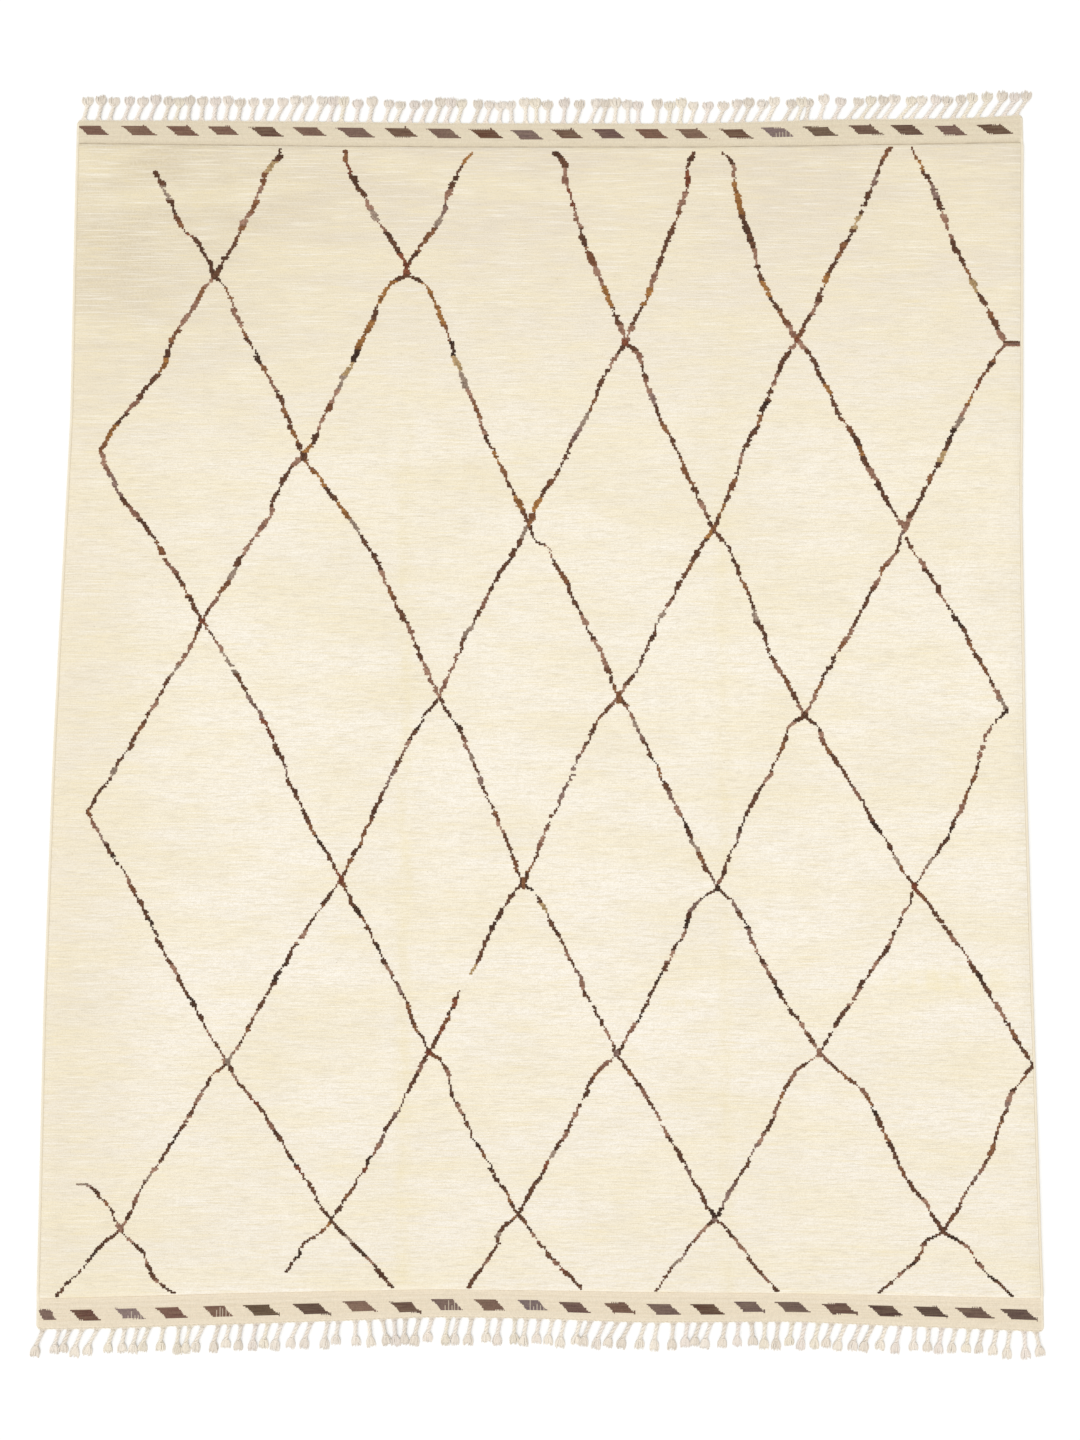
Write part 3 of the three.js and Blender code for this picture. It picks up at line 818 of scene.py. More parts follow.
# Where the lattice's lines cross: a blot of knots there, that many knots wide and high.
Crossing = namedtuple("Crossing", "across down wool width height")
CROSSINGS = {name: Crossing(*row) for name, *row in (
    ("a1", 215, 277, "U", 2, 2),
    ("a2", 407, 276, "U", 1, 1),
    ("a3", 625, 343, "S", 4, 4),
    ("a4", 797, 340, "S", 3, 4),
    ("a5", 1006, 343, "R", 1, 1),
    ("b1", 100, 450, "C", 2, 3),
    ("b2", 303, 456, "U", 4, 5),
    ("b3", 529, 525, "C", 2, 2),
    ("b4", 713, 529, "C", 3, 4),
    ("b5", 904, 529, "R", 2, 4),
    ("c1", 202, 621, "S", 3, 3),
    ("c2", 439, 697, "R", 1, 3),
    ("c3", 619, 697, "C", 3, 7),
    ("c4", 804, 716, "U", 4, 4),
    ("c5", 1007, 711, "B", 2, 3),
    ("d1", 87, 811, "U", 1, 2),
    ("d2", 341, 880, "S", 3, 4),
    ("d3", 523, 883, "C", 2, 7),
    ("d4", 717, 888, "B", 3, 4),
    ("d5", 914, 887, "S", 3, 5),
    ("e1", 227, 1063, "G", 3, 4),
    ("e2", 429, 1053, "S", 5, 3),
    ("e3", 617, 1054, "M", 3, 4),
    ("e4", 820, 1053, "R", 3, 5),
    ("e5", 1033, 1066, "U", 1, 1),
    ("f1", 120, 1230, "R", 2, 3),
    ("f2", 331, 1221, "U", 2, 2),
    ("f3", 518, 1214, "U", 2, 2),
    ("f4", 715, 1220, "M", 3, 4),
    ("f5", 943, 1232, "U", 3, 3),
)}

# A side's ends are crossings, by name, or places at the lattice's rim. It runs through its bends, and its
# chart gives its wools in order, one letter for each stretch.
Side = namedtuple("Side", "start bends end chart")
SIDES = [Side(*row) for row in (
    ((155, 172), ((172, 205), (184, 230), (196, 239), (209, 262)), "a1", "UGUCSUUU"),
    ((280, 149), ((279, 157), (265, 177), (251, 211), (231, 250)), "a1", "UTCRCRCUUU"),
    ((345, 151), ((347, 163), (361, 192), (378, 222), (392, 242), (405, 262)), "a2", "CSUURGRUUSS"),
    ((471, 153), ((462, 166), (450, 190), (440, 216), (430, 237), (410, 261)), "a2", "AUURMGCCUS"),
    ((555, 152), ((564, 163), (567, 185), (580, 230), (597, 275), (618, 322)), "a3", "URSRUCRAUR"),
    ((694, 152), ((689, 164), (684, 198), (665, 248), (650, 290), (634, 320)), "a3", "USRCUURAUR"),
    ((722, 153), ((731, 163), (735, 190), (751, 243), (764, 285), (789, 325)), "a4", "URAAUURUAUCR"),
    ((890, 147), ((882, 164), (868, 198), (854, 226), (826, 282), (808, 320)), "a4", "CUMU-TUCUAURUC"),
    ((911, 147), ((922, 166), (938, 202), (957, 252), (982, 300)), "a5", "CAUMUR-UUCTUCUR"),
    ((1006, 341.6), ((1012, 341.6),), (1020, 341.6), "UUM"),
    ("a5", ((1012, 343.3),), (1020, 343.3), "MMR"),
    ((1009, 345), ((1013, 345),), (1020, 345), "RRM"),
    ("a1", ((203, 290), (181, 325), (156, 376), (115, 428), (107, 442)), "b1", "RCRRCUAUURUAC"),
    ("a1", ((224, 286), (240, 323), (259, 360), (284, 408)), "b2", "UCRRCUBCRUCUAU"),
    ("a2", ((397, 280), (385, 293), (362, 343), (340, 385), (319, 430)), "b2", "UAAUAABTGRCRUA"),
    ("a2", ((418, 280), (430, 292), (447, 334), (465, 384), (500, 464)), "b3", "UAAACBTGRCRUACUAU"),
    ("a3", ((608, 372), (568, 452), (541, 498)), "b3", "URUUCGMUUCUAC"),
    ("a3", ((638, 354), (649, 390), (668, 433)), "b4", "URURMUCUUCCURU"),
    ("a4", ((783, 361), (764, 407), (745, 449), (730, 492)), "b4", "RUURUBCUURUCUAU"),
    ("a4", ((808, 352), (820, 378), (856, 443)), "b5", "RUUUAUUCUAURUUUR"),
    ("a5", ((991, 362), (960, 418), (928, 483)), "b5", "RCUCSARGBUTUCUUUR"),
    ("b1", ((107, 470), (119, 492), (149, 530), (172, 567)), "c1", "RRMMURUUC-RUCUU"),
    ("b2", ((287, 473), (274, 500), (271, 515), (248, 547)), "c1", "RUUURRRRUGCRU"),
    ("b2", ((328, 490), (368, 547), (399, 611)), "c2", "CAUAGUURCURURR"),
    ("b3", ((516, 547), (504, 567), (484, 603), (460, 650)), "c2", "GUUUURUGURRR"),
    ("b3", ((536, 541), (551, 553), (581, 613)), "c3", "UURUCUURURRUC"),
    ("b4", ((695, 556), (666, 608), (645, 652)), "c3", "AUUCUURGUUUMUR"),
    ("b4", ((729, 548), (751, 602), (773, 657)), "c4", "UUUUCUGUUURCUR"),
    ("b5", ((898, 549), (884, 569), (833, 663)), "c4", "MURCRUUURCUUCRR"),
    ((907, 537), ((913, 550), (939, 590), (972, 646)), "c5", "UCRUURUBUCUCURG"),
    ("c1", ((181, 660), (145, 720), (120, 762)), "d1", "UCRRGUURUCUUUGUUU"),
    ("c1", ((230, 663), (269, 732), (300, 804)), "d2", "CURG-UUMMSSUUMUUUUCBUUS"),
    ("c2", ((420, 723), (396, 768), (366, 832)), "d2", "UUBURUMMUUCCUCU"),
    ("c2", ((455, 723), (470, 752), (491, 805)), "d3", "UUBURGUMUUCRUUCU"),
    ("c3", ((604, 713), (590, 738), (558, 803)), "d3", "RUCUURM-MMU-RRUCU"),
    ("c3", ((630, 713), (651, 757), (684, 822)), "d4", "URGMUBCUMRBUGCUM"),
    ("c4", ((789, 727), (783, 748), (747, 815)), "d4", "URUCCURUUUBMUUUR"),
    ("c4", ((819, 729), (829, 750), (872, 820)), "d5", "UURCUUURUUBUUGCU"),
    ("c5", ((990, 728), (980, 750), (974, 776), (948, 836)), "d5", "BUR-RUCUCRUBUUGRU"),
    ("d1", ((106, 845), (129, 880), (162, 945), (190, 998)), "e1", "CRMUBURCUUBUUURUUBUURUR"),
    ("d2", ((320, 908), (307, 928), (265, 997)), "e1", "RUUCUUR-UUBBU-URUCURG"),
    ("d2", ((364, 921), (397, 986)), "e2", "CUUBCUUBURUMUCUCUU"),
    ("d3", ((510, 897), (496, 921), (471, 972)), "e2", "UUUUUBUUUUT__USUCSUU"),
    ("d3", ((536, 895), (549, 919), (586, 992)), "e3", "B-UTUUUURUMRU-UURRU"),
    ("d4", ((703, 898), (694, 910), (662, 975)), "e3", "UBMUBRURUBUUUBRRU"),
    ("d4", ((728, 898), (737, 907), (768, 972)), "e4", "UUMUBMRURUBUUURUR"),
    ("d5", ((911, 898), (903, 917), (888, 946), (860, 987)), "e4", "UURU-RUURUUR-UU-UU"),
    ("d5", ((938, 918), (986, 988)), "e5", "SCUU-URURUBUURRUCUUU"),
    ("e1", ((209, 1080), (190, 1114), (148, 1179)), "f1", "UCUMRURUBUURGURUUR"),
    ("e1", ((243, 1088), (257, 1107), (288, 1152)), "f2", "URURSUURUUUBSUUUUU"),
    ("e2", ((411, 1086), (376, 1150)), "f2", "URUUUMUMRBSUCUU"),
    ("e2", ((443, 1064), (455, 1099), (477, 1143)), "f3", "CURUURUUBCBUUCU"),
    ("e3", ((597, 1074), (568, 1127)), "f3", "RRCUU-RURUGSUUUU"),
    ("e3", ((654, 1111),), "f4", "UUCURUR-RUUUMUUUB"),
    ("e4", ((790, 1079), (764, 1133)), "f4", "RURUCRURMUUMMB"),
    ("e4", ((848, 1079), (865, 1094), (900, 1165)), "f5", "RUCURCBUCUUCUURUU"),
    ("e5", ((1010, 1099), (988, 1155)), "f5", "UCURMUCUCURMURUCU"),
    ((76, 1184), ((90, 1186), (98, 1195), (109, 1210)), "f1", "GMUUCUUR"),
    ("f1", ((98, 1248), (82, 1269)), (55, 1298), "UUUBUUUUU"),
    ("f1", ((138, 1248), (149, 1268), (157, 1282)), (176, 1294), "URUURUURUU"),
    ("f2", ((322, 1232), (303, 1244), (298, 1257)), (286, 1272), "ACCUUBUU"),
    ("f2", ((348, 1238), (366, 1257)), (393, 1288), "UUGUBRUUU"),
    ("f3", ((507, 1225), (498, 1236), (496, 1248)), (468, 1287), "CUUGUUURUUU"),
    ("f3", ((530, 1230), (545, 1250)), (583, 1289), "UCUR-UUURSUUU"),
    ("f4", ((697, 1237),), (656, 1291), "URRUUMGUUU"),
    ("f4", ((728, 1229), (740, 1247)), (778, 1291), "UUURRUUURU"),
    ("f5", ((925, 1243), (919, 1256)), (878, 1294), "UBURCUBURUUU"),
    ("f5", ((967, 1248), (976, 1260)), (1013, 1298), "UBURS-URUBUUB"),
)]
LUMP_ROWS = (1, 4)
LUMP_WIDTHS = (0.25, 1.75)  # a lump's half width, as a share of the line's
RAGGED_MM = 1.3  # how far either end of a row of knots strays
WOBBLE_MM = 2.4
DRIFT_MM = 6.5  # how far a line strays from its smooth course, and over what length
DRIFT_OVER_MM = 46
DRIFTS_APART = 3.7  # in the noise, from one line's drift to the next
DRIFT_LEVEL = 1.5
REACHES_DRIFT = 0.06  # from a crossing, which holds its place
BREAK_SHARE = 0.15  # half a break's length, as a share of its stretch
LINE_HALF_MM = (4.85, 4.1, 3.2)  # half the lines' width, far to near
LINE_HALF_AT = (150, 450, 620)  # and where: places down the photo
LATTICE_MARGIN_MM = 3  # from the pile's ends
PITCH = KNOT_MM * MM

NEIGHBOURS = ((1, 0), (-1, 0), (0, 1), (0, -1))
CLOSED_IN = 3  # neighbours that give a tuft its full girth
EDGE_GIRTH = 0.76  # a tuft alone in the ivory, which closes over its rim
TUFT_SPREAD = 0.9  # a tuft's radius, in knots: tufts side by side close up
TUFT_SQUASH = 0.42
TUFT_SIZES = (0.88, 1.12)
TUFT_LEAN = 0.25
KNOT_SHADES = (0.78, 1.22)


def smooth_line(points, step):
    """Points about a step apart on a smooth curve through the given ones."""
    points = np.array(points, dtype=float)
    ends = np.vstack((2 * points[0] - points[1], points, 2 * points[-1] - points[-2]))
    line = []
    for before, start, end, after in zip(ends, ends[1:], ends[2:], ends[3:]):
        count = max(1, round(np.linalg.norm(end - start) / step))
        t = (np.arange(count) / count)[:, None]
        line.append((
            2 * start + (end - before) * t + (2 * before - 5 * start + 4 * end - after) * t ** 2
            + (3 * start - before - 3 * end + after) * t ** 3
        ) / 2)
    line.append(points[-1:])
    return np.vstack(line)


def lattice_place(spot):
    across, down = CROSSINGS[spot][:2] if isinstance(spot, str) else spot
    point = surface_point(across, down, PILE_TOP_MM)
    return point.x, point.y


def knot_line(cells, line, half_mm, chart, chance):
    """Knots a line row by row, as lumps of one tone each: the rows of a lump reach about as far aside, and
    their ends are ragged, as they were counted out by eye."""
    rows = np.round(line[:, 1] / PITCH).astype(int)
    starts = [i for i in range(len(line)) if i == 0 or rows[i] != rows[i - 1]]
    rows_left = 0
    for first, last in zip(starts, starts[1:] + [len(line)]):
        spot = (first + last) / 2 / len(line) * len(chart)
        letter = chart[int(spot)]
        if letter == BREAK:
            letter = GAP if abs(spot % 1 - 0.5) < BREAK_SHARE else chart[int(spot) - 1]
        if rows_left == 0:
            rows_left = chance.randint(*LUMP_ROWS)
            half = half_mm * chance.uniform(*LUMP_WIDTHS)
            shift = chance.uniform(-WOBBLE_MM, WOBBLE_MM)
            shade = chance.random()
        rows_left -= 1
        if letter == GAP:
            continue
        tone = WOOLS[letter][int(shade * len(WOOLS[letter]))]
        xs = line[first:last, 0]
        low = xs.min() + (shift - half + chance.uniform(-RAGGED_MM, RAGGED_MM)) * MM
        high = xs.max() + (shift + half + chance.uniform(-RAGGED_MM, RAGGED_MM)) * MM
        columns = range(math.ceil(low / PITCH), math.floor(high / PITCH) + 1)
        for column in columns or [round((low + high) / 2 / PITCH)]:
            cells[column, rows[first]] = tone


def lattice_cells():
    """Each brown knot's column and row, with its tone."""
    cells = {}
    chance = random.Random(71)
    for index, side in enumerate(SIDES):
        places = [lattice_place(spot) for spot in (side.start, *side.bends, side.end)]
        half_mm = np.interp(side.bends[0][1], LINE_HALF_AT, LINE_HALF_MM)
        line = smooth_line(places, MM)
        for step, (x, y) in enumerate(line):
            from_end = min(1, step * MM / REACHES_DRIFT, (len(line) - step) * MM / REACHES_DRIFT)
            drift = noise.noise(Vector((index * DRIFTS_APART, y / (DRIFT_OVER_MM * MM), DRIFT_LEVEL)))
            line[step, 0] = x + drift * from_end * DRIFT_MM * MM
        knot_line(cells, line, half_mm, side.chart, chance)
    for name, (_, _, wool, width, height) in CROSSINGS.items():
        x, y = lattice_place(name)
        for i, j in np.ndindex(width, height):
            off_middle = math.hypot((i + 0.5) / width - 0.5, (j + 0.5) / height - 0.5)
            if off_middle < 0.5 or chance.random() < 0.5:
                column = round(x / PITCH - (width - 1) / 2) + i
                row = round(y / PITCH - (height - 1) / 2) + j
                cells[column, row] = chance.choice(WOOLS[wool])
    return cells


def tuft_tree(material):
    """A tuft on every point of the base: a low dome, turned and sized at random."""
    tree, given = new_tree("tufts", {
        "Radius": "Float", "Squash": "Float", "Least Size": "Float", "Most Size": "Float", "Seed": "Int",
    })
    dome = add_node(tree, "GeometryNodeMeshIcoSphere", {"Radius": given["Radius"], "Subdivisions": 1})
    flat = add_node(tree, "ShaderNodeCombineXYZ", {"X": 1.0, "Y": 1.0, "Z": given["Squash"]})
    size = add_node(tree, "FunctionNodeRandomValue", {
        2: given["Least Size"], 3: given["Most Size"], "Seed": given["Seed"],
    }, data_type="FLOAT")
    turn = add_node(tree, "FunctionNodeRandomValue", {
        0: (-TUFT_LEAN, -TUFT_LEAN, 0), 1: (TUFT_LEAN, TUFT_LEAN, math.tau), "Seed": given["Seed"],
    }, data_type="FLOAT_VECTOR")
    turned = add_node(tree, "FunctionNodeEulerToRotation", {"Euler": turn})
    girth = add_node(tree, "GeometryNodeInputNamedAttribute", {"Name": "girth"}, data_type="FLOAT")
    sized = add_node(tree, "ShaderNodeVectorMath", {0: flat, "Scale": size}, operation="SCALE")
    grown = add_node(tree, "ShaderNodeVectorMath", {0: sized, "Scale": girth}, operation="SCALE")
    tufts = add_node(tree, "GeometryNodeInstanceOnPoints", {
        "Points": given["Base"], "Instance": dome, "Rotation": turned, "Scale": grown,
    })
    return end_tree(tree, tufts, material)


def base_mesh(name, points, edges, values):
    """The points and edges that a tree builds on, with each point's values by name."""
    mesh = bpy.data.meshes.new(name)
    mesh.from_pydata(np.array(points).tolist(), edges, [])
    for key, given in values.items():
        kind, field = ("FLOAT_COLOR", "color") if key == "yarn" else ("FLOAT", "value")
        mesh.attributes.new(key, kind, "POINT").data.foreach_set(field, np.ravel(given))
    return mesh


def lattice_knots(material):
    """The brown knots as two pieces, the far half's and the near half's."""
    chance = random.Random(12)
    halves = {"far_lattice_knots": [], "near_lattice_knots": []}
    margin = LATTICE_MARGIN_MM * MM
    cord = 2 * CORD_MIDDLE_MM * MM
    cells = lattice_cells()
    for (i, j), tone in cells.items():
        x, y = i * PITCH, j * PITCH
        between_cords = left_side(y) + cord < x < right_side(y) - cord
        if not between_cords or not pile_at("near", x) + margin < y < pile_at("far", x) - margin:
            continue
        colour = np.array(hex_colour(tone)) * chance.uniform(*KNOT_SHADES)
        beside = sum((i + aside, j + along) in cells for aside, along in NEIGHBOURS)
        girth = EDGE_GIRTH + (1 - EDGE_GIRTH) * min(1, beside / CLOSED_IN)
        half = "far_lattice_knots" if y > FAR_HALF_STARTS else "near_lattice_knots"
        place = (x, y, pile_height(x, y) - KNOT_SUNK_MM * MM)
        halves[half].append((place, girth, (*colour[:3], 1)))
    tree = tuft_tree(material)
    pieces = []
    for name, knots in halves.items():
        places, girths, colours = zip(*knots)
        mesh = base_mesh(name + "_places", places, [], {"girth": girths, "yarn": colours})
        pieces.append(run_nodes(name, mesh, tree, {
            "Radius": PITCH * TUFT_SPREAD, "Squash": TUFT_SQUASH, "Least Size": TUFT_SIZES[0],
            "Most Size": TUFT_SIZES[1], "Seed": 5,
        }))
    return pieces


# The overcast edge cords

CORD_END_MM = 1.5  # from the cloth's ends
POINTS_A_WRAP = 3
EVENED_OVER = 9  # points over which its height is evened
CORD_LEAST_MM = 3  # its least height
TAPER_MM = 4  # how far its ends draw in, and how much of its girth is left
TAPER_LEAST = 0.03


def overcast_tree(material):
    """A cord of yarn wound round and round, along the base's line and squeezed to the base's heights."""
    tree, given = new_tree("overcast cord", {"Wrap Length": "Float", "Wrap Depth": "Float", "Sides": "Int"})
    line = add_node(tree, "GeometryNodeMeshToCurve", {"Mesh": given["Base"]})
    circle = add_node(tree, "GeometryNodeCurvePrimitiveCircle", {"Resolution": given["Sides"], "Radius": 1.0})
    along = add_node(tree, "GeometryNodeSplineParameter")
    path, profile = (
        add_node(tree, "GeometryNodeStoreNamedAttribute", {
            "Geometry": curve, "Name": name, "Value": along.outputs[measure],
        }, domain="POINT", data_type="FLOAT")
        for curve, name, measure in ((line, "along", "Length"), (circle, "around", "Factor"))
    )
    thickness, rise, length, turn = (
        add_node(tree, "GeometryNodeInputNamedAttribute", {"Name": name}, data_type="FLOAT")
        for name in ("thickness", "rise", "along", "around")
    )
    tube = add_node(tree, "GeometryNodeCurveToMesh", {
        "Curve": path, "Profile Curve": profile, "Scale": thickness, "Fill Caps": True,
    })
    # The groove between two wraps: a wave that stands at 0 on their crests and at minus 1 between them.
    depth = length
    for operation, other in (
        ("DIVIDE", given["Wrap Length"]), ("ADD", turn), ("MULTIPLY", math.pi), ("SINE", 0.0),
        ("ABSOLUTE", 0.0), ("SUBTRACT", 1.0), ("MULTIPLY", given["Wrap Depth"]),
    ):
        depth = add_node(tree, "ShaderNodeMath", {0: depth, 1: other}, operation=operation)
    facing = add_node(tree, "GeometryNodeInputNormal")
    push = add_node(tree, "ShaderNodeVectorMath", {0: facing, "Scale": depth}, operation="SCALE")
    wrapped = add_node(tree, "GeometryNodeSetPosition", {"Geometry": tube, "Offset": push})
    place = add_node(tree, "GeometryNodeInputPosition")
    squeeze = add_node(tree, "ShaderNodeCombineXYZ", {"X": 1.0, "Y": 1.0, "Z": rise})
    squeezed = add_node(tree, "ShaderNodeVectorMath", {0: place, 1: squeeze}, operation="MULTIPLY")
    laid = add_node(tree, "GeometryNodeSetPosition", {"Geometry": wrapped, "Position": squeezed})
    return end_tree(tree, laid, material)


def line_mesh(name, lines):
    """Loose lines as one mesh, from pairs of their points and a dictionary of values for each point."""
    edges = []
    first = 0
    for line, _ in lines:
        edges += [(i, i + 1) for i in range(first, first + len(line) - 1)]
        first += len(line)
    values = {
        key: np.concatenate([
            np.broadcast_to(given[key], (len(line), 4) if key == "yarn" else len(line))
            for line, given in lines
        ])
        for key in lines[0][1]
    }
    return base_mesh(name, np.vstack([line for line, _ in lines]), edges, values)


def edge_cord(name, side, inward, tree):
    """The cord along one side, from just inside the near end to just inside the far one."""
    aside = inward * CORD_MIDDLE_MM * MM
    start, stop = edge_at("near", 0), edge_at("far", 0)
    for _ in range(3):
        start = edge_at("near", side(start) + aside) + CORD_END_MM * MM
        stop = edge_at("far", side(stop) + aside) - CORD_END_MM * MM
    ys = np.linspace(start, stop, POINTS_A_WRAP * round((stop - start) / MM / WRAP_MM) + 1)
    heights = np.array([cloth_height(side(y) + inward * CORD_TOP_AT_MM * MM, y) for y in ys])
    window = np.full(EVENED_OVER, 1 / EVENED_OVER)
    heights = np.convolve(np.pad(heights, EVENED_OVER // 2, mode="edge"), window, mode="valid")
    half = CORD_HALF_WIDTH_MM * MM
    from_end_mm = np.minimum(ys - ys[0], ys[-1] - ys) / MM
    taper = np.sqrt(np.clip(from_end_mm / TAPER_MM, TAPER_LEAST, 1))
    points = np.column_stack((side(ys) + aside, ys, np.full(len(ys), half)))
    mesh = line_mesh(name + "_line", [(points, {
        "thickness": half * taper, "rise": np.maximum(heights, CORD_LEAST_MM * MM) / (2 * half),
    })])
    return run_nodes(name, mesh, tree, {
        "Wrap Length": WRAP_MM * MM, "Wrap Depth": WRAP_DEPTH_MM * MM, "Sides": 8,
    })


# The fringe

# The sections of a tassel's solid: how far out each lies, as a share of its length, and how high it stands.
Section = namedtuple("Section", "out height_mm")
SECTIONS = {
    "root": Section(0.15, 5.4),
    "cord": Section(0.42, 6.0),
    "knot": Section(0.62, 6.4),
    "tip": Section(1.0, 4.6),
}
SAME_MM = 0.02  # heights and places closer than this are one
STRAYS_MM = {
    "far": (
        -1, 4, -2, 4, 2, 2, 9, 3, 1, 2, 1, -4, -5, -5, -8, -10, -11, -12, -7, -4, -8, 0, 1, 10, 3,
        5, 3, 3, -4, -8, 4, 0, 2, 1, 5, -3, -9, 0, -3, 2, -2, -2, -1, -11, 8, 6, 0, -8, -5, -4,
        -3, -8, -10, -12, 3, 1, -12, -10, -5, 0, -1, -4, -10, -2, -7, -2, -1, 2, -5, -2, 2, 0, -2,
    ),
    "near": (
        0, 10, -1, -4, 2, 12, 4, 2, -6, -2, 6, -3, -4, 3, -5, -12, -7, -11, -12, 1, -3, 10, 0, 12, 12,
        12, 6, -1, 0, -2, 9, -4, -4, 8, 2, 7, 0, -2, -3, -8, 0, -11, -8, -11, -12, -8, -11, -3, 0, -5,
        -12, -9, -9, -12, -11, -12, -9, -12, -11, -12, -12, -7, -10, -10, -7, -4, -2, -3, -2, -1, -1,
        0, 0, 3, -4,
    ),
}
ROOT_STRAYS = 0.7  # as a share of the head's stray

TASSEL_TONES = ("#EDE4D8", "#E8DED0", "#ECE2D6", "#EBE2D1", "#E9DFD5", "#EEE5D7", "#E6DCCE")
BORDER_TONE = "#E2D7C0"
TASSEL_SHADES = (0.97, 1.03)
FAN_SHADES = (0.93, 1.04)
COIL_SHADES = (0.97, 1.05)
HEAD_SHADES = (0.94, 1.03)
FLATTEN = 0.8

# The twisted cord. It rises from the edge and thickens, both in the first part of its length: where each
# starts from, as a share, and how fast it grows along the cord.
PLIES = 2
PLY_SIDES = 6  # of its section
PLY_MM = 2.8
PLY_GIRTHS = (0.93, 1.07)
PLY_TWIST_MM = 22
PLY_SPREAD = 0.84  # from the cord's middle to its plies', in their thicknesses
CORD_LIES_MM = 5.5  # its middle above the floor
CORD_RISES = (0.5, 3)
CORD_THICKENS = (0.62, 2.6)
CORD_STEP_MM = 2.4
CORD_STARTS = 3  # its first point; before it the warp yarns run loose
KNOT_SHARE = 0.85  # where the knot sits, from the cord's section to the knot's
BOWS = (0.3, 0.85)  # how much of its bow it has at its first two sections

# The fan of warp yarns at its root: from inside the band, past a bend, to where they are gathered.
FAN_YARNS = 7
FAN_STARTS_MM = 2.5
FAN_BEND = 0.32
FAN_ENDS = 7  # the cord's point where they are gathered
FAN_HALF_MM = (11, 5.2, 1.5)
FAN_STEP_MM = 3.4
FAN_LIES_MM = (1.9, 4.2)
FAN_GIRTH_MM = (1.5, 1.2)
FAN_GIRTHS = (0.9, 1.12)

# The knot: one and a half turns of yarn, slanted round the cord's end.
COIL_POINTS = 14
COIL_TURNS = 1.5
COIL_MM = 3.3
COIL_HALF_MM = 3.63
COIL_LENGTH_MM = (-3.2, 2.4)
COIL_SLANT_MM = 1.3
COIL_LIES_MM = 5.3
COIL_GIRTH_MM = 1.9
COIL_GIRTHS = ((0, 2, 11, 13), (0.4, 1, 1, 0.4))  # along its points

# The head: the cord's yarns let loose, thick ones in its core and fine ones round it. Flare: a higher number
# keeps a head narrow for longer. Closing: 1 for a head that is widest at its end, more for one that draws in
# again.
Fullness = namedtuple("Fullness", "width_mm flare closing rounding_mm bow_mm")
HEADS = {"far": Fullness(26, 0.85, 1.15, 3.5, 3.4), "near": Fullness(22, 0.95, 1.05, 1.4, -1.0)}
Yarns = namedtuple("Yarns", "number heights lengths")
CORE = Yarns(6, (0.2, 0.8), (0.8, 0.95))
FRAYED = Yarns(22, (0, 1), (0.88, 1.1))
CORE_SPREAD = 0.62
CORE_GIRTH_MM = 2.3
FRAYED_GIRTH_MM = (0.9, 1.25)
YARN_SIDES = 4  # of its section
YARN_GIRTHS = np.array((0.8, 1, 1, 0.9, 0.5))  # along its points
HEAD_STARTS_MM = -2.5  # under the knot
HEAD_NECK_MM = 3.2
WANDER_MM = 1.4
ROOF_MM = ((0, 0.3, 1), (7.8, 7.4, 3.8))  # the head's height along its length
ROOF_ROUNDING = 0.6

# The cord along a band's outer edge.
BORDER_MM = 1.25
BORDER_INSET_MM = 0.6
BORDER_LIES_MM = 2.6
BORDER_STEP_MM = 2.3
BORDER_END_MM = 5


def tassel_places(node):
    """Each tassel's middle at every section of its solid, read from the section's upper edges."""
    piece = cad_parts[node]
    points = np.array([piece.matrix_world @ vertex.co for vertex in piece.data.vertices])
    ends = points[np.array([edge.vertices for edge in piece.data.edges])]
    same = SAME_MM * MM
    level = np.abs(ends[:, 0, 2] - ends[:, 1, 2]) < same
    places = {}
    for name, section in SECTIONS.items():
        there = level & (np.abs(ends[:, 0, 2] - section.height_mm * MM) < same)
        middles = np.unique(np.round(ends[there].mean(axis=1) / same).astype(int), axis=0) * same
        places[name] = middles[np.argsort(middles[:, 0])][:, :2]
    return places


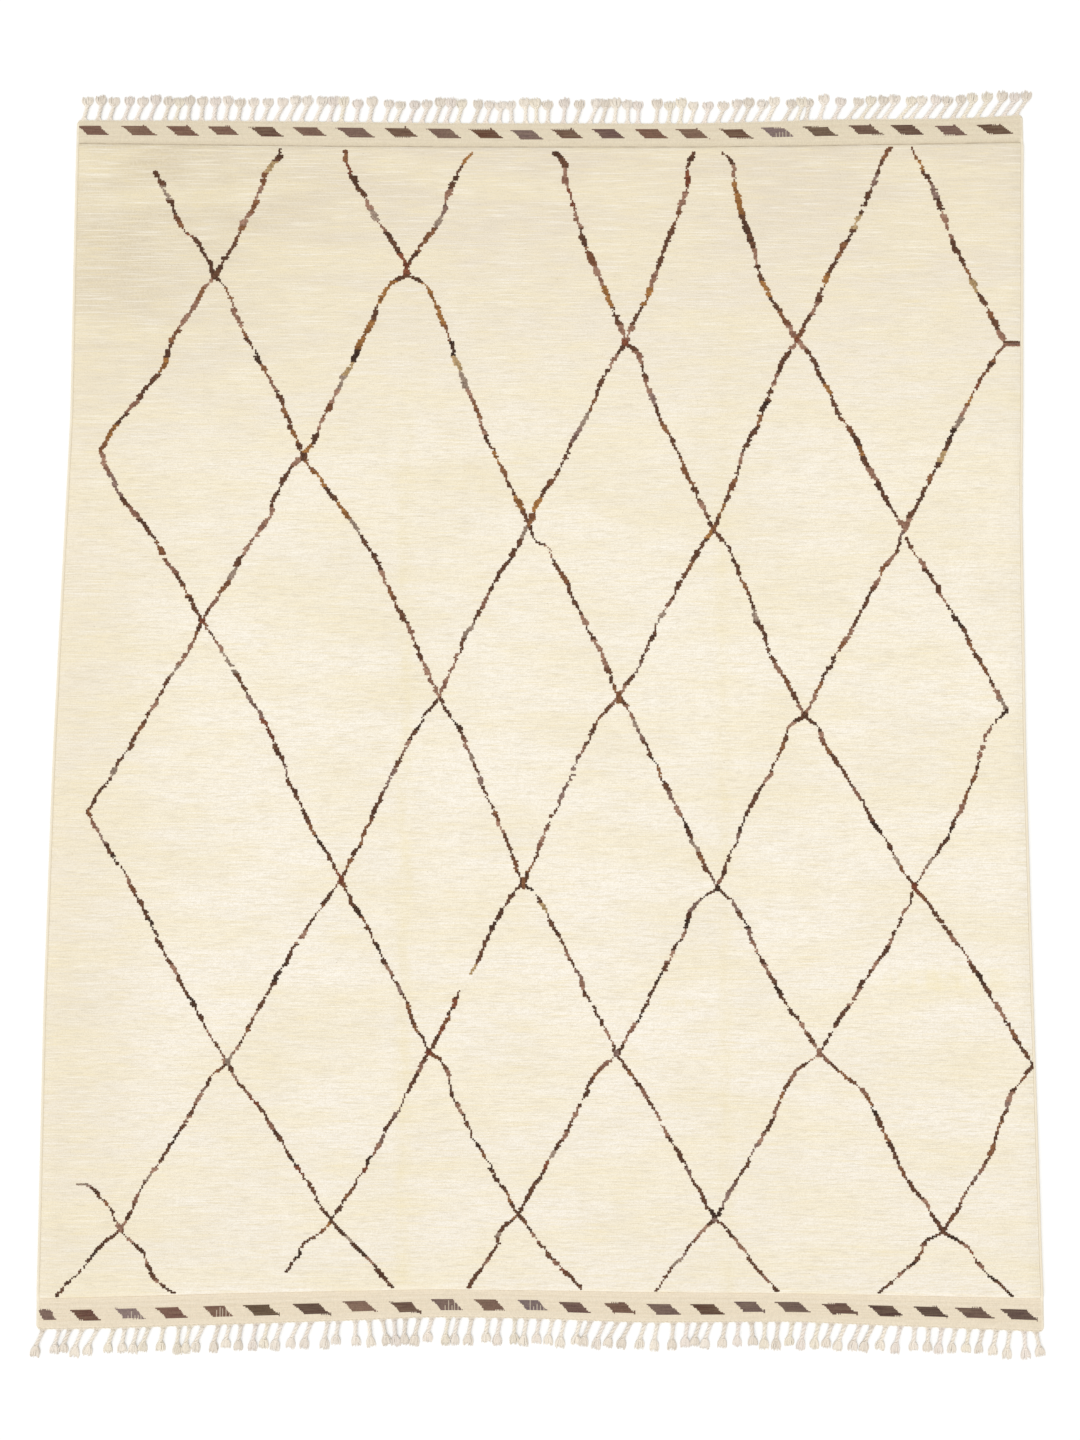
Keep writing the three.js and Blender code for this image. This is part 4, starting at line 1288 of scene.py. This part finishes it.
def yarn_tree(material):
    """Plies that wind round each line of the base, swept to its thickness."""
    tree, given = new_tree("twisted yarn", {
        "Plies": "Int", "Turn Length": "Float", "Spread": "Float", "Sides": "Int", "Flatten": "Float",
    })
    line = add_node(tree, "GeometryNodeMeshToCurve", {"Mesh": given["Base"]})
    plies = add_node(tree, "GeometryNodeDuplicateElements", {
        "Geometry": line, "Amount": given["Plies"],
    }, domain="SPLINE")
    along = add_node(tree, "GeometryNodeSplineParameter").outputs["Length"]
    turns = add_node(tree, "ShaderNodeMath", {0: along, 1: given["Turn Length"]}, operation="DIVIDE")
    share = add_node(tree, "ShaderNodeMath", {
        0: plies.outputs["Duplicate Index"], 1: given["Plies"],
    }, operation="DIVIDE")
    phase = add_node(tree, "ShaderNodeMath", {0: turns, 1: share}, operation="ADD")
    angle = add_node(tree, "ShaderNodeMath", {0: phase, 1: math.tau}, operation="MULTIPLY")
    normal = add_node(tree, "GeometryNodeInputNormal")
    tangent = add_node(tree, "GeometryNodeInputTangent")
    wound = add_node(tree, "ShaderNodeVectorRotate", {"Vector": normal, "Axis": tangent, "Angle": angle})
    thickness = add_node(tree, "GeometryNodeInputNamedAttribute", {"Name": "thickness"}, data_type="FLOAT")
    radius = add_node(tree, "ShaderNodeMath", {0: thickness, 1: given["Spread"]}, operation="MULTIPLY")
    offset = add_node(tree, "ShaderNodeVectorMath", {0: wound, "Scale": radius}, operation="SCALE")
    twisted = add_node(tree, "GeometryNodeSetPosition", {"Geometry": plies, "Offset": offset})
    circle = add_node(tree, "GeometryNodeCurvePrimitiveCircle", {"Resolution": given["Sides"], "Radius": 1.0})
    yarns = add_node(tree, "GeometryNodeCurveToMesh", {
        "Curve": twisted, "Profile Curve": circle, "Scale": thickness, "Fill Caps": True,
    })
    lying = add_node(tree, "ShaderNodeCombineXYZ", {"X": 1.0, "Y": 1.0, "Z": given["Flatten"]})
    pressed = add_node(tree, "GeometryNodeTransform", {"Geometry": yarns, "Scale": lying})
    return end_tree(tree, pressed, material)


def raised(line, heights_mm):
    return np.column_stack((line, np.broadcast_to(heights_mm, len(line)) * MM))


def twisted_cord(spine, shade, chance):
    """A tassel's cord along its spine, as a line with its thickness and tone."""
    along = np.linspace(0, 1, len(spine))
    rise, girth = (np.minimum(1, start + along * growth) for start, growth in (CORD_RISES, CORD_THICKENS))
    line = raised(spine, CORD_LIES_MM * rise)
    girth *= PLY_MM * MM * chance.uniform(*PLY_GIRTHS)
    return line[CORD_STARTS:], {"thickness": girth[CORD_STARTS:], "yarn": shade(1, 1)}


def root_fan(root, gathered, outwards, shade, chance):
    """The warp yarns that a tassel's cord is gathered from."""
    inside = root - np.array((0, outwards * FAN_STARTS_MM * MM))
    bend = root + (gathered - root) * FAN_BEND
    for aside in np.linspace(-1, 1, FAN_YARNS):
        places = [
            place + np.array((aside * half_mm * MM, 0))
            for place, half_mm in zip((inside, bend, gathered), FAN_HALF_MM)
        ]
        line = smooth_line(places, FAN_STEP_MM * MM)
        girth = np.linspace(*FAN_GIRTH_MM, len(line)) * MM * chance.uniform(*FAN_GIRTHS)
        lifted = raised(line, np.linspace(*FAN_LIES_MM, len(line)))
        yield lifted, {"thickness": girth, "yarn": shade(*FAN_SHADES)}


def wrapped_knot(from_knot, shade, chance):
    """The yarn wound round a tassel's cord where its head starts."""
    turns = np.linspace(0, COIL_TURNS * math.tau, COIL_POINTS) + chance.uniform(0, math.pi)
    forward = np.linspace(*COIL_LENGTH_MM, COIL_POINTS) + COIL_SLANT_MM * np.cos(turns)
    line = raised(from_knot(forward, COIL_HALF_MM * np.cos(turns)), COIL_LIES_MM + COIL_MM * np.sin(turns))
    girth = COIL_GIRTH_MM * MM * np.interp(np.arange(COIL_POINTS), *COIL_GIRTHS)
    return line, {"thickness": girth, "yarn": shade(*COIL_SHADES)}


def frayed_head(from_knot, length_mm, head, shade, chance):
    """The yarns let loose past a tassel's knot."""
    steps = np.linspace(0, 1, len(YARN_GIRTHS))
    core_spreads = np.linspace(-CORE_SPREAD, CORE_SPREAD, CORE.number)
    for strand in range(CORE.number + FRAYED.number):
        core = strand < CORE.number
        kind = CORE if core else FRAYED
        spread = core_spreads[strand] if core else math.sin(chance.uniform(-1, 1) * math.pi / 2)
        up = chance.uniform(*kind.heights)
        reach = length_mm * chance.uniform(*kind.lengths)
        bulge = np.sin(steps ** head.flare * head.closing * math.pi / 2) * head.width_mm / 2
        wander = chance.uniform(-WANDER_MM, WANDER_MM) * np.sin(steps * math.pi)
        lateral = HEAD_NECK_MM * spread * (1 - steps) + spread * bulge + wander
        forward = reach * steps + HEAD_STARTS_MM - head.rounding_mm * spread ** 2 * steps
        girth_mm = (CORE_GIRTH_MM if core else chance.uniform(*FRAYED_GIRTH_MM)) * YARN_GIRTHS
        roof = np.interp(steps, *ROOF_MM) * math.sqrt(1 - ROOF_ROUNDING * spread ** 2)
        lift = np.maximum(girth_mm, girth_mm + (roof - 2 * girth_mm) * up)
        line = raised(from_knot(forward, lateral), lift)
        yield line, {"thickness": girth_mm * MM, "yarn": shade(*HEAD_SHADES)}


def tassel(places, root, outwards, head, chance):
    """One tassel's cord and its loose yarns, as lines with their thickness and tone."""
    tone = np.array(hex_colour(chance.choice(TASSEL_TONES)))
    tone[:3] *= chance.uniform(*TASSEL_SHADES)

    def shade(least, most):
        return np.array((*(tone[:3] * chance.uniform(least, most)), 1.0))

    bow = np.array((head.bow_mm * MM, 0))
    knot = places["cord"] * (1 - KNOT_SHARE) + places["knot"] * KNOT_SHARE + bow
    bends = [places[name] + bow * share for name, share in zip(("root", "cord"), BOWS)]
    spine = smooth_line([root, *bends, knot], CORD_STEP_MM * MM)
    way = places["tip"] - knot
    length = np.linalg.norm(way)
    ahead = way / length
    across = np.array((-ahead[1], ahead[0]))

    def from_knot(forward_mm, lateral_mm):
        return knot + (ahead * forward_mm[:, None] + across * lateral_mm[:, None]) * MM

    cord = twisted_cord(spine, shade, chance)
    gathered = spine[min(FAN_ENDS, len(spine) - 1)]
    yarns = [
        *root_fan(root, gathered, outwards, shade, chance),
        wrapped_knot(from_knot, shade, chance),
        *frayed_head(from_knot, length / MM, head, shade, chance),
    ]
    return cord, yarns


def fringe(end, tree):
    """One end's fringe: its twisted cords, with the edge's own cord, and the loose yarns."""
    chance = random.Random(end)
    outwards = OUTWARDS[end]
    sections = tassel_places(end + "_fringe")
    back = SECTIONS["root"].out / (SECTIONS["cord"].out - SECTIONS["root"].out)
    cords, yarns = [], []
    for index, stray_mm in enumerate(STRAYS_MM[end]):
        places = {}
        for name, middles in sections.items():
            share = ROOT_STRAYS + (1 - ROOT_STRAYS) * SECTIONS[name].out
            places[name] = middles[index] + np.array((stray_mm * share * MM, 0))
        root = places["root"] + (places["root"] - places["cord"]) * back
        root[1] = edge_at(end, root[0])
        cord, loose = tassel(places, root, outwards, HEADS[end], chance)
        cords.append(cord)
        yarns += loose
    reach = edges[end][0]
    xs = np.arange(reach[0] + BORDER_END_MM * MM, reach[-1] - BORDER_END_MM * MM, BORDER_STEP_MM * MM)
    border = np.column_stack((xs, edge_at(end, xs) - outwards * BORDER_INSET_MM * MM))
    cords.append((raised(border, BORDER_LIES_MM), {
        "thickness": BORDER_MM * MM, "yarn": np.array(hex_colour(BORDER_TONE)),
    }))
    kinds = (("cords", cords, PLIES, PLY_SPREAD, PLY_SIDES), ("yarns", yarns, 1, 0.0, YARN_SIDES))
    return [
        run_nodes(f"{end}_fringe_{kind}", line_mesh(f"{end}_{kind}_lines", lines), tree, {
            "Plies": plies, "Turn Length": PLY_TWIST_MM * MM, "Spread": spread, "Sides": sides,
            "Flatten": FLATTEN,
        })
        for kind, lines, plies, spread, sides in kinds
    ]


ROOM_LIGHT = 0.78
WINDOW_LIGHT = 1.3
WINDOW_WIDTH = math.radians(70)  # as seen from the rug
WINDOW_TURN = (math.radians(30), math.radians(-22), 0)


def light_the_room():
    """A white room with one large soft window light from the near left."""
    world = bpy.data.worlds.new("white room")
    world.use_nodes = True
    background = world.node_tree.nodes["Background"]
    background.inputs["Color"].default_value = (1, 1, 1, 1)
    background.inputs["Strength"].default_value = ROOM_LIGHT
    bpy.context.scene.world = world
    window = bpy.data.lights.new("window light", "SUN")
    window.energy = WINDOW_LIGHT
    window.angle = WINDOW_WIDTH
    lamp = bpy.data.objects.new("window light", window)
    lamp.rotation_euler = WINDOW_TURN
    bpy.context.collection.objects.link(lamp)


make_camera()
light_the_room()
bpy.context.scene.view_settings.view_transform = "Standard"
floor = make_floor(matt_floor())

field = pile_field(cut_pile_wool())
woven = flat_woven_wool()
bands = [woven_band(end, woven) for end in OUTWARDS]
knots = lattice_knots(knotted_brown_wool())
overcast = overcast_tree(overcast_edge_wool())
edge_cords = [
    edge_cord("left_edge_cord", left_side, 1, overcast),
    edge_cord("right_edge_cord", right_side, -1, overcast),
]
twisted = yarn_tree(twisted_warp_yarn())
fringes = {end + "_fringe": fringe(end, twisted) for end in OUTWARDS}

for piece in (field, *bands, *knots, *edge_cords):
    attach(piece, "root")
    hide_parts("rug")
for node, pieces in fringes.items():
    for piece in pieces:
        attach(piece, "root")
        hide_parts(node)
every_fringe = [piece for pieces in fringes.values() for piece in pieces]
